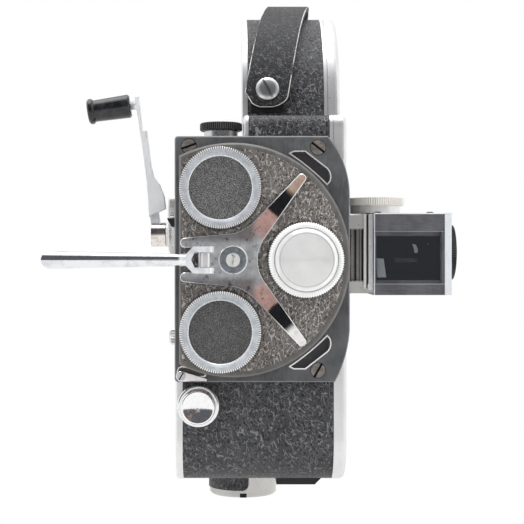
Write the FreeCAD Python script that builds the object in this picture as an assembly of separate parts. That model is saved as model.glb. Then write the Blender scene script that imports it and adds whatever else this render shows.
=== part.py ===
"""Spring-wound turret movie camera for 16 mm film, as separate solids in millimetres.

Z is up, the lenses look along -Y and the film door is on +X. The origin is the mouth of the
tripod socket, at the centre of the base boss's bottom face.
"""
import FreeCAD, Part
import math
import os
from FreeCAD import Vector as V

os.makedirs("parts", exist_ok=True)

# Clearances shared by all fits
SEAT_GAP = 0.1            # between two pieces that lie on each other and move apart
RUN_GAP = 0.05            # radial, a shaft in its bore
SWEEP_GAP = 0.3           # between a turning piece and the face it turns over

# Base boss with the tripod socket
BOSS_R = 15.0
BOSS_H = 13.5
SOCKET_R = 3.97           # core radius of a 3/8 inch tripod thread
SOCKET_DEPTH = 10.0
BOSS_NOTCH_W = 3.0
BOSS_NOTCH_H = 1.9
BOSS_NOTCH_DEPTH = 2.0
BOSS_PAD_T = 0.5
BOSS_PAD_DROP = 10.4      # how far the leather pad hangs down the boss
BOSS_PAD_RIGHT = 2.4

# Body outline, seen from the side
BODY_FRONT = -60.0        # Y of the body's front face
BODY_DEPTH = 132.0
CHAMBER_H = 151.7         # bottom of the body to the top of the shoulder
ARCH_RISE = 3.1           # from the shoulder up to the arch's centre
ARCH_R = 50.0
BOTTOM_FRONT_R = 18.0
BOTTOM_BACK_R = 14.0
SHOULDER_R = 5.0
SHOULDER_STEP = 9.7       # from the mechanism cover's top up to the shoulder
SHOULDER_EDGE_R = 1.8     # the shoulder's rounded left edge
COVER_BACK_R = 16.0

# Body outline, seen from the front
BODY_LEFT = -28.0         # X of the mechanism cover's side
COVER_W = 27.6
CHAMBER_W = 36.9
DOOR_T = 5.5
WALL = 2.2
DIVIDER_X = 5.5           # left face of the wall between the mechanism and the film
DIVIDER_T = 2.5

# Leather covering, laid in shallow recesses
LEATHER_T = 0.8
LEATHER_SINK = 0.15       # the leather's face lies this far under the metal rims
EDGE_LEFT = 2.9           # bare metal beside the leather on the mechanism cover
ARCH_EDGE_LEFT = 2.2      # the same, along the shoulder and the arch
ARCH_EDGE_RIGHT = 1.5
DOOR_RIM = 3.0
DOOR_EDGE_R = 2.4

# Front plate and the turret's axis
TURRET_X = -4.5
TURRET_DROP = 50.0        # from the mechanism cover's top down to the axis
PLATE_T = 8.0
PLATE_RIGHT = 47.0        # from the turret axis to the plate's right edge
PLATE_TOP = 49.9          # from the turret axis
PLATE_BOTTOM = 49.1
PLATE_EDGE = 0.6
PLATE_CORNER_R = 1.4      # the two left corners
PLATE_SCREW_R = 3.2
PLATE_SCREW_T = 1.6
PLATE_SHANK_R = 1.5
PLATE_SHANK_L = 4.0
PLATE_SLOT_W = 0.9
PLATE_SLOT_D = 0.8
PLATE_TOP_RUN = 38.2      # from the turret axis to where the top edge ends
PLATE_BOTTOM_RUN = 41.0
PLATE_SIDE_TOP = 26.5     # the straight part of the right edge, above and below the axis
PLATE_SIDE_BOTTOM = 28.2
PLATE_UPPER_BOW = (44.4, 39.6)
PLATE_LOWER_BOW = (45.2, -38.8)
PLATE_SCREWS = (
    # X and Z from the turret axis, direction of the slot
    (34.2, 45.3, -38.0),
    (34.2, -44.4, 60.0),
    (-17.8, 45.8, 20.0),
)
LIGHT_HOLE_R = 10.0       # behind the taking port, through the plate and the body
CRESCENT_SINK = 1.2
CRESCENT_WALL = 0.5
CRESCENT_GAP = 1.6        # from the turret's rim
CRESCENT_RISE = 0.2
CRESCENT_SPAN = (38.4, 62.6)
CRESCENT_W = 6.9
CRESCENT_H = 7.0

# Turret disc and its ports
TURRET_R = 46.7
TURRET_T = 5.7
TURRET_FLAT = 21.5        # from the axis to the flat on the left
TURRET_BEVEL = 0.9
TURRET_COVER_T = 0.4
TURRET_COVER_IN = 2.3
COVER_PORT_GAP = 0.6      # round each port in the covering
PORT_SEAT = 2.5           # the step behind a cap
PIVOT_R = 4.0
PORT_CIRCLE_R = 28.85
PORT_STEP = 100.0         # degrees between the taking port and the two others
PORT_R = 12.7
CAP_PLUG_L = 4.0

# Caps on the two upper ports and on the taking port
SIDE_CAP_R = 16.2
SIDE_CAP_FACE_R = 12.5
SIDE_CAP_H = 6.4
SIDE_CAP_DISH = 2.4
SIDE_CAP_EDGE = 0.3
SIDE_CAP_LIP = 1.2
DISC_T = 1.6
SIDE_CAP_TEETH = 112
FRONT_CAP_R = 15.05
FRONT_CAP_STEP_R = 12.4
FRONT_CAP_FACE_R = 11.0
FRONT_CAP_EDGE = 1.2
FRONT_CAP_GROOVE = 0.5
FRONT_CAP_H = 6.6
FRONT_CAP_RISE = 2.2
FRONT_CAP_TEETH = 96
CAP_TOOTH = 0.55          # depth of the caps' teeth
KNURL_DEPTH = 0.35        # depth of the finer knurls

# Spider plate, hub and folding lever on the turret
SPIDER_T = 1.8
SPIDER_EDGE = 0.3
SPIDER_CLEAR_R = 19.1     # round the taking port's cap
HUB_R = 5.8
HUB_T = 1.4
HUB_SCREW_R = 2.8
HUB_SCREW_H = 1.1
SPIDER_HALF = (
    # X and Z from the turret axis and the corner's radius, from the taking port's cap round the upper arm
    (29.6, 32.8, 1.4),
    (26.9, 34.6, 1.4),
    (4.2, 10.9, 16.0),
    (-20.9, 8.6, 1.8),
    (-20.9, 4.9, 1.8),
    (-13.6, 4.9, 1.0),
)
SPIDER_WAIST = (12.0, 7.9)
LEVER_PIN_X = 10.9        # from the turret axis, to the left
LEVER_PIN_R = 1.3
LEVER_PIN_H = 3.9         # above the spider plate
LEVER_LUG_R = 2.05
LEVER_LUG_HALF = 2.75
FORK_R = 3.6              # the fork's round ends
FORK_HALF = 5.3
FORK_GAP_HALF = 3.0
FORK_WALL_X = 15.0        # the gap's shoulder and its point, from the turret axis
FORK_POINT_X = 16.4
FORK_SHOULDER_X = 15.5
LEVER_ROOT_X = 18.4
LEVER_BACK = 2.5          # the bar's flat back behind the pin
LEVER_TIP_X = 75.2
LEVER_TIP_HALF = 3.55
LEVER_ROOT_HALF = 2.35
LEVER_H = 4.2

# Turret lock lever and front release button, both on the front
LOCK_X = 20.8             # pivot, left of the turret axis
LOCK_Z = 46.6             # pivot, below the turret axis
LOCK_LENGTH = 9.7
LOCK_ROOT_R = 2.1
LOCK_TIP_R = 0.7
LOCK_T = 1.4
LOCK_SCREW_R = 1.7
LOCK_SCREW_H = 0.9
LOCK_PIN_R = 0.9
LOCK_PIN_L = 3.5         # its thread in the plate
BUTTON_X = 14.1
BUTTON_Z = 59.3
BUTTON_R = 7.0
BUTTON_H = 5.4            # proud of its collar
BUTTON_TRAVEL = 3.0
BUTTON_STEM_R = 2.4
COLLAR_R = 8.6
COLLAR_H = 4.2
COLLAR_LIP = 1.2
SPRING_WIRE_R = 0.35
SPRING_TURNS = 4

# Focusing magnifier, upright above the upper port
MAGNIFIER_Y = 10.5        # behind the body's front face
MAGNIFIER_RING_R = 8.8
MAGNIFIER_RING_H = 3.4
MAGNIFIER_NECK_R = 7.0
MAGNIFIER_NECK_H = 3.4
MAGNIFIER_BORE_R = 4.6
MAGNIFIER_TUBE_R = 6.0
MAGNIFIER_DEPTH = 20.0
MAGNIFIER_SPIGOT_R = 5.4
MAGNIFIER_SPIGOT_L = 2.4
MAGNIFIER_EYE_R = 4.0
MAGNIFIER_EDGE = 0.8
LENS_T = 2.0

# Winding crank on the mechanism cover
CRANK_Y = 82.0            # behind the front face
CRANK_Z = 12.0            # above the turret axis
CRANK_SHAFT_R = 2.6
CRANK_BOSS_R = 5.9
CRANK_BOSS_H = 8.2
KNUCKLE_R = 5.8
KNUCKLE_W = 6.75
KNUCKLE_BACK = 1.2        # what is left behind the slot
CRANK_TANG = 1.7          # half the slot's width in the knuckle
CRANK_TANG_HALF = 2.2
CRANK_EYE_R = 2.45
CRANK_PIN_R = 1.6
CRANK_PIN_OFF = 0.6       # the hinge lies this far left of the knuckle's middle
CRANK_PIN_SINK = 0.9
CRANK_ARM_L = 65.8
CRANK_ARM_T = 7.0
CRANK_ARM_EDGE = 0.4
CRANK_LEAN = 8.2          # degrees, the folded arm leans away from the cover
CRANK_OUTLINE = (
    # Sideways from the hinge, and along the arm as a share of its length
    (-2.7, 0.134),
    (5.8, 0.173),
    (5.9, 0.264),
    (4.6, 0.353),
    (2.4, 0.413),
    (1.8, 0.50),
    (2.15, 0.748),
    (0.2, 0.757),
    (0.5, 0.92),
    (0.65, 1.0),
    (-1.2, 1.0),
    (-1.3, 0.775),
    (-1.25, 0.555),
    (-1.45, 0.389),
)
CRANK_END = 3.8           # from the arm's end back to the grip's axis
CRANK_SIDE = 1.2          # from the hinge's line to the arm's left side at the grip
GRIP_R0 = 5.55
GRIP_R1 = 5.1
GRIP_FLANGE_R = 6.0
GRIP_FLANGE_L = 2.2
GRIP_EDGE = 0.8
GRIP_L = 20.2
GRIP_BORE_R = 1.5
GRIP_NECK_R = 1.75
GRIP_FLARE_R = 2.4
GRIP_NECK_L = 2.6
GRIP_CAP_R = 3.0
GRIP_CAP_T = 1.2
GRIP_CAP_SINK = 0.5

# Speed dial, side knob, exposure lever and counter on the mechanism cover
DIAL_Y = 25.0             # behind the front face
DIAL_Z = 15.0             # above the turret axis
DIAL_R = 12.2
DIAL_H = 3.8
DIAL_GROOVE = (6.6, 10.0)
DIAL_GROOVE_D = 0.6
DIAL_SHAFT_R = 2.5
SIDE_KNOB_Y = 20.0
SIDE_KNOB_Z = 32.6        # below the turret axis
SIDE_KNOB_R = 3.4
SIDE_KNOB_H = 3.4
STEM_END = 1.2            # a shaft's end inside the wall
SIDE_LEVER_Y = 44.0
SIDE_LEVER_Z = 34.0
SIDE_LEVER_L = 17.0
SIDE_LEVER_R = 4.4
SIDE_LEVER_T = 2.2
COUNTER_Y = 58.0
COUNTER_Z = 62.0          # below the turret axis
COUNTER_R = 9.0
COUNTER_GLASS_T = 1.4

# Works between the mechanism cover and the divider
GEAR_MODULE = 1.0
BARREL_TEETH = 56
PINION_TEETH = 12
WHEEL_TEETH = 48
GEAR_T = 2.2
BARREL_R = 26.0
BARREL_L = 12.0
ARBOR_R = 1.6
PINION_L = 3.6
PLATE2_T = 2.0            # the mechanism's back plate
PLATE2_IN = 5.0           # from the cover's outer face to the back plate
PILLAR_R = 2.6
TRAIN_DROP_ANGLE = 206.5  # direction of each next arbor, degrees from +Y in the YZ plane
GOVERNOR_R = 9.0
SHUTTER_R = 27.0
SHUTTER_X = 7.5           # right of the turret axis
SHUTTER_T = 0.8
SHUTTER_BACK = 4.4        # behind the body's front face
SHUTTER_ARC = 165.0       # degrees of the closed sector
SHUTTER_ROOM = 1.0        # round the shutter in the bulkhead
WORM_R = 2.2
BARREL_PLAY = 0.8         # from the divider to the barrel's gear

# Film path on the door side
BULKHEAD = 12.0           # from the front face to the film space
GATE_W = 21.0
GATE_H = 38.0
GATE_T = 2.0
PRESSER_GAP = 0.3
FRAME_W = 10.26           # a 16 mm film frame
FRAME_H = 7.49
GUIDE_Z = 15.0
PRESSER_T = 2.2
PRESSER_TRAVEL = 1.2
SPOOL_GAP = 1.8           # round a spool, to the chamber's wall and to the other spool
SPOOL_FLANGE_T = 1.0
SPOOL_CORE_R = 15.9
SPOOL_W = 18.0
SPOOL_BORE_R = 4.05
SPOOL_HOLE_R = 9.0
SPINDLE_FOOT_R = 7.0
SPINDLE_TIP = 1.4         # the spindle's end past its spool
SPROCKET_R = 9.7
SPROCKET_TEETH = 8
SPROCKET_Y = 28.0         # behind the front face
SPROCKET_UP = 25.5
SPROCKET_DOWN = 21.5

# Film door with its lock
DOOR_GAP = 0.15
LOCK_KNOB_R = 9.0
LOCK_SHAFT_R = 2.5
LOCK_WING_T = 3.2
LOCK_WING_H = 3.0
LOCK_BAR_W = 5.0
LOCK_BAR_L = 22.0
LOCK_BAR_T = 1.5
LOCK_KNOB_H = 2.2
LOCK_KNOB_Y = 96.0        # behind the front face
LOCK_KNOB_Z = 18.0        # below the turret axis
DOOR_LEATHER_T = 0.8

# Optical finder on the door
FINDER_X0 = 58.6          # left face, from the turret axis
FINDER_W = 32.3
FINDER_TOP = 19.6         # above the turret axis
FINDER_H = 34.2
FINDER_BACK = 10.0        # its face lies this far behind the body's front face
FINDER_L = 88.0
FINDER_BOX_L = 46.0
TRIM_LEFT = 0.4
TRIM_RIGHT = 2.8
TRIM_PROUD = 0.5
WINDOW_W = 26.75
WINDOW_IN = 1.25          # from the finder's left face to the window
WINDOW_H = 18.4
WINDOW_DROP = 9.6         # from the finder's top to the window
GLASS_T = 1.6
GLASS_SINK = 3.2
EYE_R = 10.5
EYE_L = 9.0
EYE_BORE_R = 5.0
LUG_T = 2.6
BRACKET_L = 52.0
WEB_BACK = 8.0            # from the rails' front ends back to the web
RAIL_H1 = 6.1
RAIL_H2 = 5.4
BRACKET_RIBS = (
    # Left and right side from the door's face, and how far back the front lies; the last is the rack
    (2.6, 4.7, 2.5),
    (5.2, 7.2, 1.5),
    (8.2, 10.2, 3.5),
)
RACK_HOLES = 10
RACK_HOLE_R = 0.55
RACK_STEP = 2.0
RAIL_Z1 = 18.8
RAIL_Z2 = 13.9
FINDER_DIAL_X = 60.6
FINDER_DIAL_Y = 24.0
FINDER_DIAL_R = 12.4
FINDER_DIAL_H = 3.1
FINDER_DRUM_R = 10.6
FINDER_DRUM_H = 3.4
FINDER_KNOB_Y = 14.0
FINDER_KNOB_R = 11.6
FINDER_KNOB_H = 2.6

# Carrying strap over the arch
STRAP_W = 19.0
STRAP_T = 2.4
STRAP_X0 = 13.0           # at the front foot of the arch, right of the turret axis
STRAP_X1 = 26.9           # behind the top
STRAP_SLACK = 6.0
STRAP_START = 12.0        # degrees round the arch from the front
STRAP_END = 158.0
STRAP_LEAN_BACK = 3.0      # how far the slack gathers behind the top
STRAP_TIP = 3.2           # degrees round the arch to each end of the strap
STRAP_SCREW_R = 5.0
STRAP_SCREW_H = 2.0
STRAP_SHANK_R = 1.5
STRAP_SLOT_W = 1.1
STRAP_SCREWS = (11.7, 168.3)
STRAP_STEPS = 44
STRAP_EASE = 0.2          # share of a quarter turn over which the lean ends
STRAP_HOLE_L = 12.0       # long enough to pass through lug, slack and strap
STRAP_SLOT_TURN = -63.0
TONGUE = (
    # X and Z from the strap's middle and its tip: the cut-off corners and the rounded end
    (-11.5, 9.8),
    (-10.0, 7.3),
    (-6.7, 1.9),
    (-3.6, 0.3),
    (-0.2, 0.0),
    (4.6, 0.9),
    (8.3, 3.5),
    (11.0, 9.0),
)
STRAP_LUG_W = 14.0
STRAP_LUG_Z = 1.2         # its lower edge above the arch's centre
STRAP_LUG_H = 9.0
STRAP_LUG_T = 1.4

# Foot bar beside the boss
FOOT_X0 = 13.8
FOOT_X1 = 32.8
FOOT_Y0 = -42.0
FOOT_Y1 = -17.0
FOOT_H = 2.8


def polar(radius, degrees):
    """A point on a circle, as two numbers."""
    angle = math.radians(degrees)
    return (radius * math.cos(angle), radius * math.sin(angle))


# Places worked out from the sizes above
BODY_BOTTOM = BOSS_H
BODY_BACK = BODY_FRONT + BODY_DEPTH
SHOULDER_Z = BODY_BOTTOM + CHAMBER_H
ARCH_Z = SHOULDER_Z + ARCH_RISE
COVER_TOP = SHOULDER_Z - SHOULDER_STEP
TURRET_Z = COVER_TOP - TURRET_DROP
ARCH_Y = BODY_BACK - ARCH_R
SPLIT_X = BODY_LEFT + COVER_W
DOOR_X = SPLIT_X + CHAMBER_W
BODY_RIGHT = DOOR_X + DOOR_T
PLATE_Y = BODY_FRONT - PLATE_T
TURRET_BACK = PLATE_Y - SWEEP_GAP
TURRET_FACE = TURRET_BACK - TURRET_T
COVERING_Y = TURRET_FACE - TURRET_COVER_T
SPIDER_Y = COVERING_Y - SPIDER_T
FILM_X = TURRET_X + PORT_CIRCLE_R
# The largest spool that leaves its gap in the arch and beside the other spool
SPOOL_R = min(ARCH_R - WALL - SPOOL_GAP, (CHAMBER_H + ARCH_RISE - WALL - 2 * SPOOL_GAP) / 3)
CRANK_AXIS = V(0, BODY_FRONT + CRANK_Y, TURRET_Z + CRANK_Z)
MAGNIFIER_X = TURRET_X + polar(PORT_CIRCLE_R, PORT_STEP)[0]
MAGNIFIER_MID_Y = BODY_FRONT + MAGNIFIER_Y
SHUTTER_AXIS_X = TURRET_X + SHUTTER_X
FINDER_LEFT = TURRET_X + FINDER_X0
FINDER_RIGHT = FINDER_LEFT + FINDER_W
FINDER_Y = BODY_FRONT + FINDER_BACK
FINDER_HIGH = TURRET_Z + FINDER_TOP
FINDER_LOW = FINDER_HIGH - FINDER_H
BRACKET_Y0 = FINDER_Y + 2.0
BARREL_X = DIVIDER_X - BARREL_PLAY - GEAR_T         # left face of the barrel's gear
WHEEL_X = BARREL_X - BARREL_L - 4.0          # left face of the wheel's layer
PLATE2_X = BODY_LEFT + PLATE2_IN
PILLARS = (
    # Y and Z of the four pillars of the mechanism plate
    (BODY_FRONT + 30.0, COVER_TOP - 12.5),
    (BODY_BACK - 12.0, COVER_TOP - 16.5),
    (BODY_FRONT + 16.0, BODY_BOTTOM + 46.5),
    (BODY_BACK - 17.0, BODY_BOTTOM + 22.5),
)


def box(x0, x1, y0, y1, z0, z1):
    """A box between two corners."""
    return Part.makeBox(x1 - x0, y1 - y0, z1 - z0, V(x0, y0, z0))


def rod(radius, start, axis, length):
    """A cylinder from its start point along an axis."""
    return Part.makeCylinder(radius, length, start, axis)


def outline(start, steps, place):
    """A closed wire; each step is an end point, or a point on an arc and the arc's end point."""
    edges = []
    here = start
    for step in list(steps) + [start]:
        if isinstance(step[0], tuple):
            edges.append(Part.Arc(place(here), place(step[0]), place(step[1])).toShape())
            here = step[1]
        elif math.dist(here, step) > 1e-6:
            edges.append(Part.LineSegment(place(here), place(step)).toShape())
            here = step
    return Part.Wire(edges)


def at_x(x):
    """Places outline points (y, z) in the plane of one x."""
    return lambda p: V(x, p[0], p[1])


def at_y(y):
    """Places outline points (x, z) in the plane of one y."""
    return lambda p: V(p[0], y, p[1])


def at_z(z):
    """Places outline points (x, y) in the plane of one z."""
    return lambda p: V(p[0], p[1], z)


def from_turret(y):
    """Places outline points measured from the turret's axis in the plane of one y."""
    return lambda p: V(TURRET_X + p[0], y, TURRET_Z + p[1])


def slab(wire, push):
    """Pushes a closed wire's face along a vector."""
    return Part.Face(wire).extrude(push)


def corner(cx, cy, radius, degrees):
    """A point on the circle round (cx, cy)."""
    a, b = polar(radius, degrees)
    return (cx + a, cy + b)


def chamfered(shape, size, keep):
    """Chamfers the edges that keep() picks."""
    edges = [edge for edge in shape.Edges if keep(edge)]
    return shape.makeChamfer(size, edges) if edges else shape


def filleted(shape, radius, keep):
    """Rounds the edges that keep() picks."""
    edges = [edge for edge in shape.Edges if keep(edge)]
    return shape.makeFillet(radius, edges) if edges else shape


def lies_at(axis, value):
    """Picks edges that lie wholly in the plane axis = value."""
    def test(edge):
        low = getattr(edge.BoundBox, axis + "Min")
        high = getattr(edge.BoundBox, axis + "Max")
        return abs(low - value) < 1e-4 and abs(high - value) < 1e-4
    return test


def lies_at_either(axis, low, high):
    """Picks edges that lie wholly in one of two planes."""
    return lambda edge: lies_at(axis, low)(edge) or lies_at(axis, high)(edge)


def knurled(radius, teeth, depth, height, place, push):
    """A toothed disc with fine pointed teeth, pushed from a plane along a unit vector."""
    points = []
    for i in range(teeth):
        step = 360.0 / teeth
        points.append(place(polar(radius, i * step)))
        points.append(place(polar(radius - depth, (i + 0.5) * step)))
    points.append(points[0])
    return Part.Face(Part.makePolygon(points)).extrude(push * height)


def save(shapes, node):
    """Writes one node, from one solid or a list of separate solids."""
    shape = shapes if isinstance(shapes, Part.Shape) else Part.makeCompound(shapes)
    if not shape.isValid() or not shape.Solids:
        print("CHECK", node, shape.isValid(), len(shape.Solids))
    shape.exportStep("parts/" + node + ".step")
    print(node, len(shape.Solids), "solids", round(shape.Volume / 1000.0, 2), "cm3")


def chamber_outline(inset, x):
    """The film chamber's side outline, with the arch, moved inwards by the inset."""
    front, back = BODY_FRONT + inset, BODY_BACK - inset
    bottom, shoulder = BODY_BOTTOM + inset, SHOULDER_Z - inset
    top_r, front_r, back_r = max(SHOULDER_R - inset, 0.8), BOTTOM_FRONT_R - inset, BOTTOM_BACK_R - inset
    arch_front = ARCH_Y - ARCH_R + inset
    steps = [
        (front, bottom + front_r),
        (corner(front + front_r, bottom + front_r, front_r, 225), (front + front_r, bottom)),
        (back - back_r, bottom),
        (corner(back - back_r, bottom + back_r, back_r, 315), (back, bottom + back_r)),
        (back, ARCH_Z),
        ((ARCH_Y, ARCH_Z + ARCH_R - inset), (arch_front, ARCH_Z)),
        (arch_front, shoulder),
        (front + top_r, shoulder),
        (corner(front + top_r, shoulder - top_r, top_r, 135), (front, shoulder - top_r)),
    ]
    return outline((front, shoulder - top_r), steps, at_x(x))


def cover_outline(inset, x):
    """The mechanism cover's side outline, moved inwards by the inset."""
    front, back = BODY_FRONT + inset, BODY_BACK - inset
    bottom, top = BODY_BOTTOM + inset, COVER_TOP - inset
    front_r, back_r, top_r = BOTTOM_FRONT_R - inset, BOTTOM_BACK_R - inset, COVER_BACK_R - inset
    steps = [
        (front, bottom + front_r),
        (corner(front + front_r, bottom + front_r, front_r, 225), (front + front_r, bottom)),
        (back - back_r, bottom),
        (corner(back - back_r, bottom + back_r, back_r, 315), (back, bottom + back_r)),
        (back, top - top_r),
        (corner(back - top_r, top - top_r, top_r, 45), (back - top_r, top)),
        (front, top),
    ]
    return outline((front, top), steps, at_x(x))


def plug(shape_outline, inset, x0, x1):
    """An outline filled between two x planes."""
    return slab(shape_outline(inset, x0), V(x1 - x0, 0, 0))


def skin(shape_outline, x0, x1, outer):
    """A strip that follows the outline, from the outer inset in to the leather's depth."""
    return plug(shape_outline, outer, x0, x1).cut(plug(shape_outline, LEATHER_T, x0, x1))


def wraps(outer):
    """The covering round the body: the lower front and back, and the shoulder and arch."""
    plate_low = TURRET_Z - PLATE_BOTTOM
    back_low = COVER_TOP - COVER_BACK_R
    left, right = BODY_LEFT, BODY_RIGHT
    low = skin(cover_outline, BODY_LEFT + EDGE_LEFT, SPLIT_X, outer)
    low = low.fuse(skin(chamber_outline, SPLIT_X, DOOR_X, outer)).removeSplitter()
    front = low.common(box(left, right, BODY_FRONT, BODY_FRONT + BOTTOM_FRONT_R, BODY_BOTTOM, plate_low))
    back = low.common(box(left, right, BODY_BACK - BOTTOM_BACK_R, BODY_BACK, BODY_BOTTOM, back_low))
    high = skin(chamber_outline, SPLIT_X + ARCH_EDGE_LEFT, DOOR_X - ARCH_EDGE_RIGHT, outer)
    arch = high.common(box(left, right, BODY_FRONT, BODY_BACK, COVER_TOP, ARCH_Z + ARCH_R))
    return [front, back, arch]


def body_hole(y, z, radius):
    """A hole through the mechanism cover's side wall."""
    return rod(radius, V(BODY_LEFT - 1, y, z), V(1, 0, 0), WALL + 2)


def shoulder_edges(edge):
    """Picks the shoulder's left edges, in front of the arch and above the mechanism cover."""
    reach = edge.BoundBox
    ahead = reach.YMax < ARCH_Y - ARCH_R + 1e-3 and reach.ZMax < ARCH_Z - 1
    return ahead and lies_at("X", SPLIT_X)(edge) and not lies_at("Z", COVER_TOP)(edge)


def film_chamber():
    """The cast film chamber with the arch, open to the door and to the mechanism."""
    body = plug(chamber_outline, 0, SPLIT_X, DOOR_X)
    above = box(SPLIT_X, DOOR_X, BODY_FRONT, BODY_BACK, COVER_TOP, ARCH_Z + ARCH_R)
    raised = filleted(body.common(above), SHOULDER_EDGE_R, shoulder_edges)
    body = body.cut(above).fuse(raised).removeSplitter()
    body = body.cut(plug(cover_outline, WALL, SPLIT_X, DIVIDER_X))
    film = plug(chamber_outline, WALL, DIVIDER_X + DIVIDER_T, DOOR_X)
    arch = plug(chamber_outline, WALL, SPLIT_X + WALL, DIVIDER_X + DIVIDER_T)
    behind = box(SPLIT_X, DOOR_X, BODY_FRONT + BULKHEAD, BODY_BACK, BODY_BOTTOM, ARCH_Z + ARCH_R)
    above = box(SPLIT_X, DOOR_X, BODY_FRONT + BULKHEAD, BODY_BACK, COVER_TOP + WALL, ARCH_Z + ARCH_R)
    body = body.cut(film.common(behind)).cut(arch.common(above))
    shutter_x = TURRET_X + SHUTTER_X
    reach = SHUTTER_R + SHUTTER_ROOM
    body = body.cut(box(SPLIT_X, shutter_x + reach, BODY_FRONT + WALL, BODY_FRONT + BULKHEAD - WALL,
                        TURRET_Z - reach, TURRET_Z + reach))
    aperture = box(FILM_X - FRAME_W / 2, FILM_X + FRAME_W / 2, BODY_FRONT - 1, BODY_FRONT + BULKHEAD + 1,
                   TURRET_Z - FRAME_H / 2, TURRET_Z + FRAME_H / 2)
    body = body.cut(aperture)
    body = body.cut(rod(LIGHT_HOLE_R, V(FILM_X, BODY_FRONT - 1, TURRET_Z), V(0, 1, 0), WALL + 2))
    body = body.cut(rod(PIVOT_R, V(TURRET_X, BODY_FRONT - 1, TURRET_Z), V(0, 1, 0), WALL + 2))
    for piece in wraps(0):
        body = body.cut(piece)
    for z in (SPROCKET_UP, -SPROCKET_DOWN):
        start = V(DIVIDER_X - 1, BODY_FRONT + SPROCKET_Y, TURRET_Z + z)
        body = body.cut(rod(ARBOR_R + RUN_GAP, start, V(1, 0, 0), DIVIDER_T + 2))
    body = body.cut(sideways(ARBOR_R + RUN_GAP, *train()[0], DIVIDER_X - 1, DIVIDER_X + DIVIDER_T + 1))
    for angle in STRAP_SCREWS:
        body = body.cut(strap_rod(STRAP_SHANK_R, angle, ARCH_R - WALL - 1, WALL + 2))
    return body


def mechanism_cover():
    """The cast cover over the clockwork, with the holes for what turns in it."""
    cover = plug(cover_outline, 0, BODY_LEFT, SPLIT_X)
    cover = chamfered(cover, 0.7, lies_at("X", BODY_LEFT))
    cover = cover.cut(plug(cover_outline, WALL, BODY_LEFT + WALL, SPLIT_X))
    cover = cover.cut(plug(cover_outline, EDGE_LEFT, BODY_LEFT, BODY_LEFT + LEATHER_T))
    for piece in wraps(0):
        cover = cover.cut(piece)
    cover = cover.cut(body_hole(CRANK_AXIS.y, CRANK_AXIS.z, CRANK_SHAFT_R + RUN_GAP))
    cover = cover.cut(body_hole(BODY_FRONT + DIAL_Y, TURRET_Z + DIAL_Z, DIAL_SHAFT_R + RUN_GAP))
    cover = cover.cut(body_hole(BODY_FRONT + SIDE_KNOB_Y, TURRET_Z - SIDE_KNOB_Z, ARBOR_R + RUN_GAP))
    cover = cover.cut(body_hole(BODY_FRONT + SIDE_LEVER_Y, TURRET_Z - SIDE_LEVER_Z, ARBOR_R + RUN_GAP))
    cover = cover.cut(body_hole(BODY_FRONT + COUNTER_Y, TURRET_Z - COUNTER_Z, COUNTER_R))
    stem_hole = rod(BUTTON_STEM_R + RUN_GAP, V(TURRET_X - BUTTON_X, BODY_FRONT - 1, TURRET_Z - BUTTON_Z),
                    V(0, 1, 0), WALL + 2)
    collar_seat = rod(COLLAR_R, button_place(BODY_FRONT), V(0, 1, 0), LEATHER_T)
    pivot_hole = rod(PIVOT_R, V(TURRET_X, BODY_FRONT - 1, TURRET_Z), V(0, 1, 0), WALL + 2)
    cover = cover.cut(collar_seat).cut(pivot_hole)
    return cover.cut(stem_hole).cut(upright(MAGNIFIER_TUBE_R, COVER_TOP - WALL - 1, WALL + 2))


def body_leather():
    """Leather pieces: the wraps, the side of the mechanism cover and the pad on the boss."""
    pieces = wraps(LEATHER_SINK)
    side = plug(cover_outline, EDGE_LEFT + 0.1, BODY_LEFT + LEATHER_SINK, BODY_LEFT + LEATHER_T)
    holes = (
        (CRANK_AXIS.y, CRANK_AXIS.z, CRANK_BOSS_R),
        (BODY_FRONT + DIAL_Y, TURRET_Z + DIAL_Z, DIAL_R + SEAT_GAP),
        (BODY_FRONT + SIDE_KNOB_Y, TURRET_Z - SIDE_KNOB_Z, SIDE_KNOB_R + SEAT_GAP),
        (BODY_FRONT + SIDE_LEVER_Y, TURRET_Z - SIDE_LEVER_Z, SIDE_LEVER_R + SEAT_GAP),
        (BODY_FRONT + COUNTER_Y, TURRET_Z - COUNTER_Z, COUNTER_R + 1.4),
    )
    for y, z, radius in holes:
        side = side.cut(body_hole(y, z, radius))
    collar = rod(COLLAR_R, V(TURRET_X - BUTTON_X, BODY_FRONT - 1, TURRET_Z - BUTTON_Z), V(0, 1, 0), WALL)
    pieces = [piece.cut(collar) for piece in pieces] + [side, boss_pad()]
    for angle in STRAP_SCREWS:
        pieces = [piece.cut(strap_rod(STRAP_SHANK_R, angle, ARCH_R - WALL - 1, WALL + 2)) for piece in pieces]
    return [solid for piece in pieces for solid in piece.Solids]


def boss_pad():
    """A patch of leather round the front left of the boss."""
    low = BOSS_H - BOSS_PAD_DROP
    sleeve = rod(BOSS_R + BOSS_PAD_T, V(0, 0, low), V(0, 0, 1), BOSS_PAD_DROP)
    sleeve = sleeve.cut(rod(BOSS_R, V(0, 0, low), V(0, 0, 1), BOSS_PAD_DROP))
    window = slab(outline((-2 * BOSS_R, BOSS_H), [(-2 * BOSS_R, low), (BOSS_PAD_RIGHT - 3, low),
                  (corner(BOSS_PAD_RIGHT - 3, low + 3, 3, 315), (BOSS_PAD_RIGHT, low + 3)),
                  (BOSS_PAD_RIGHT, BOSS_H)], at_y(-2 * BOSS_R)), V(0, 2 * BOSS_R, 0))
    return sleeve.common(window)


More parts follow.
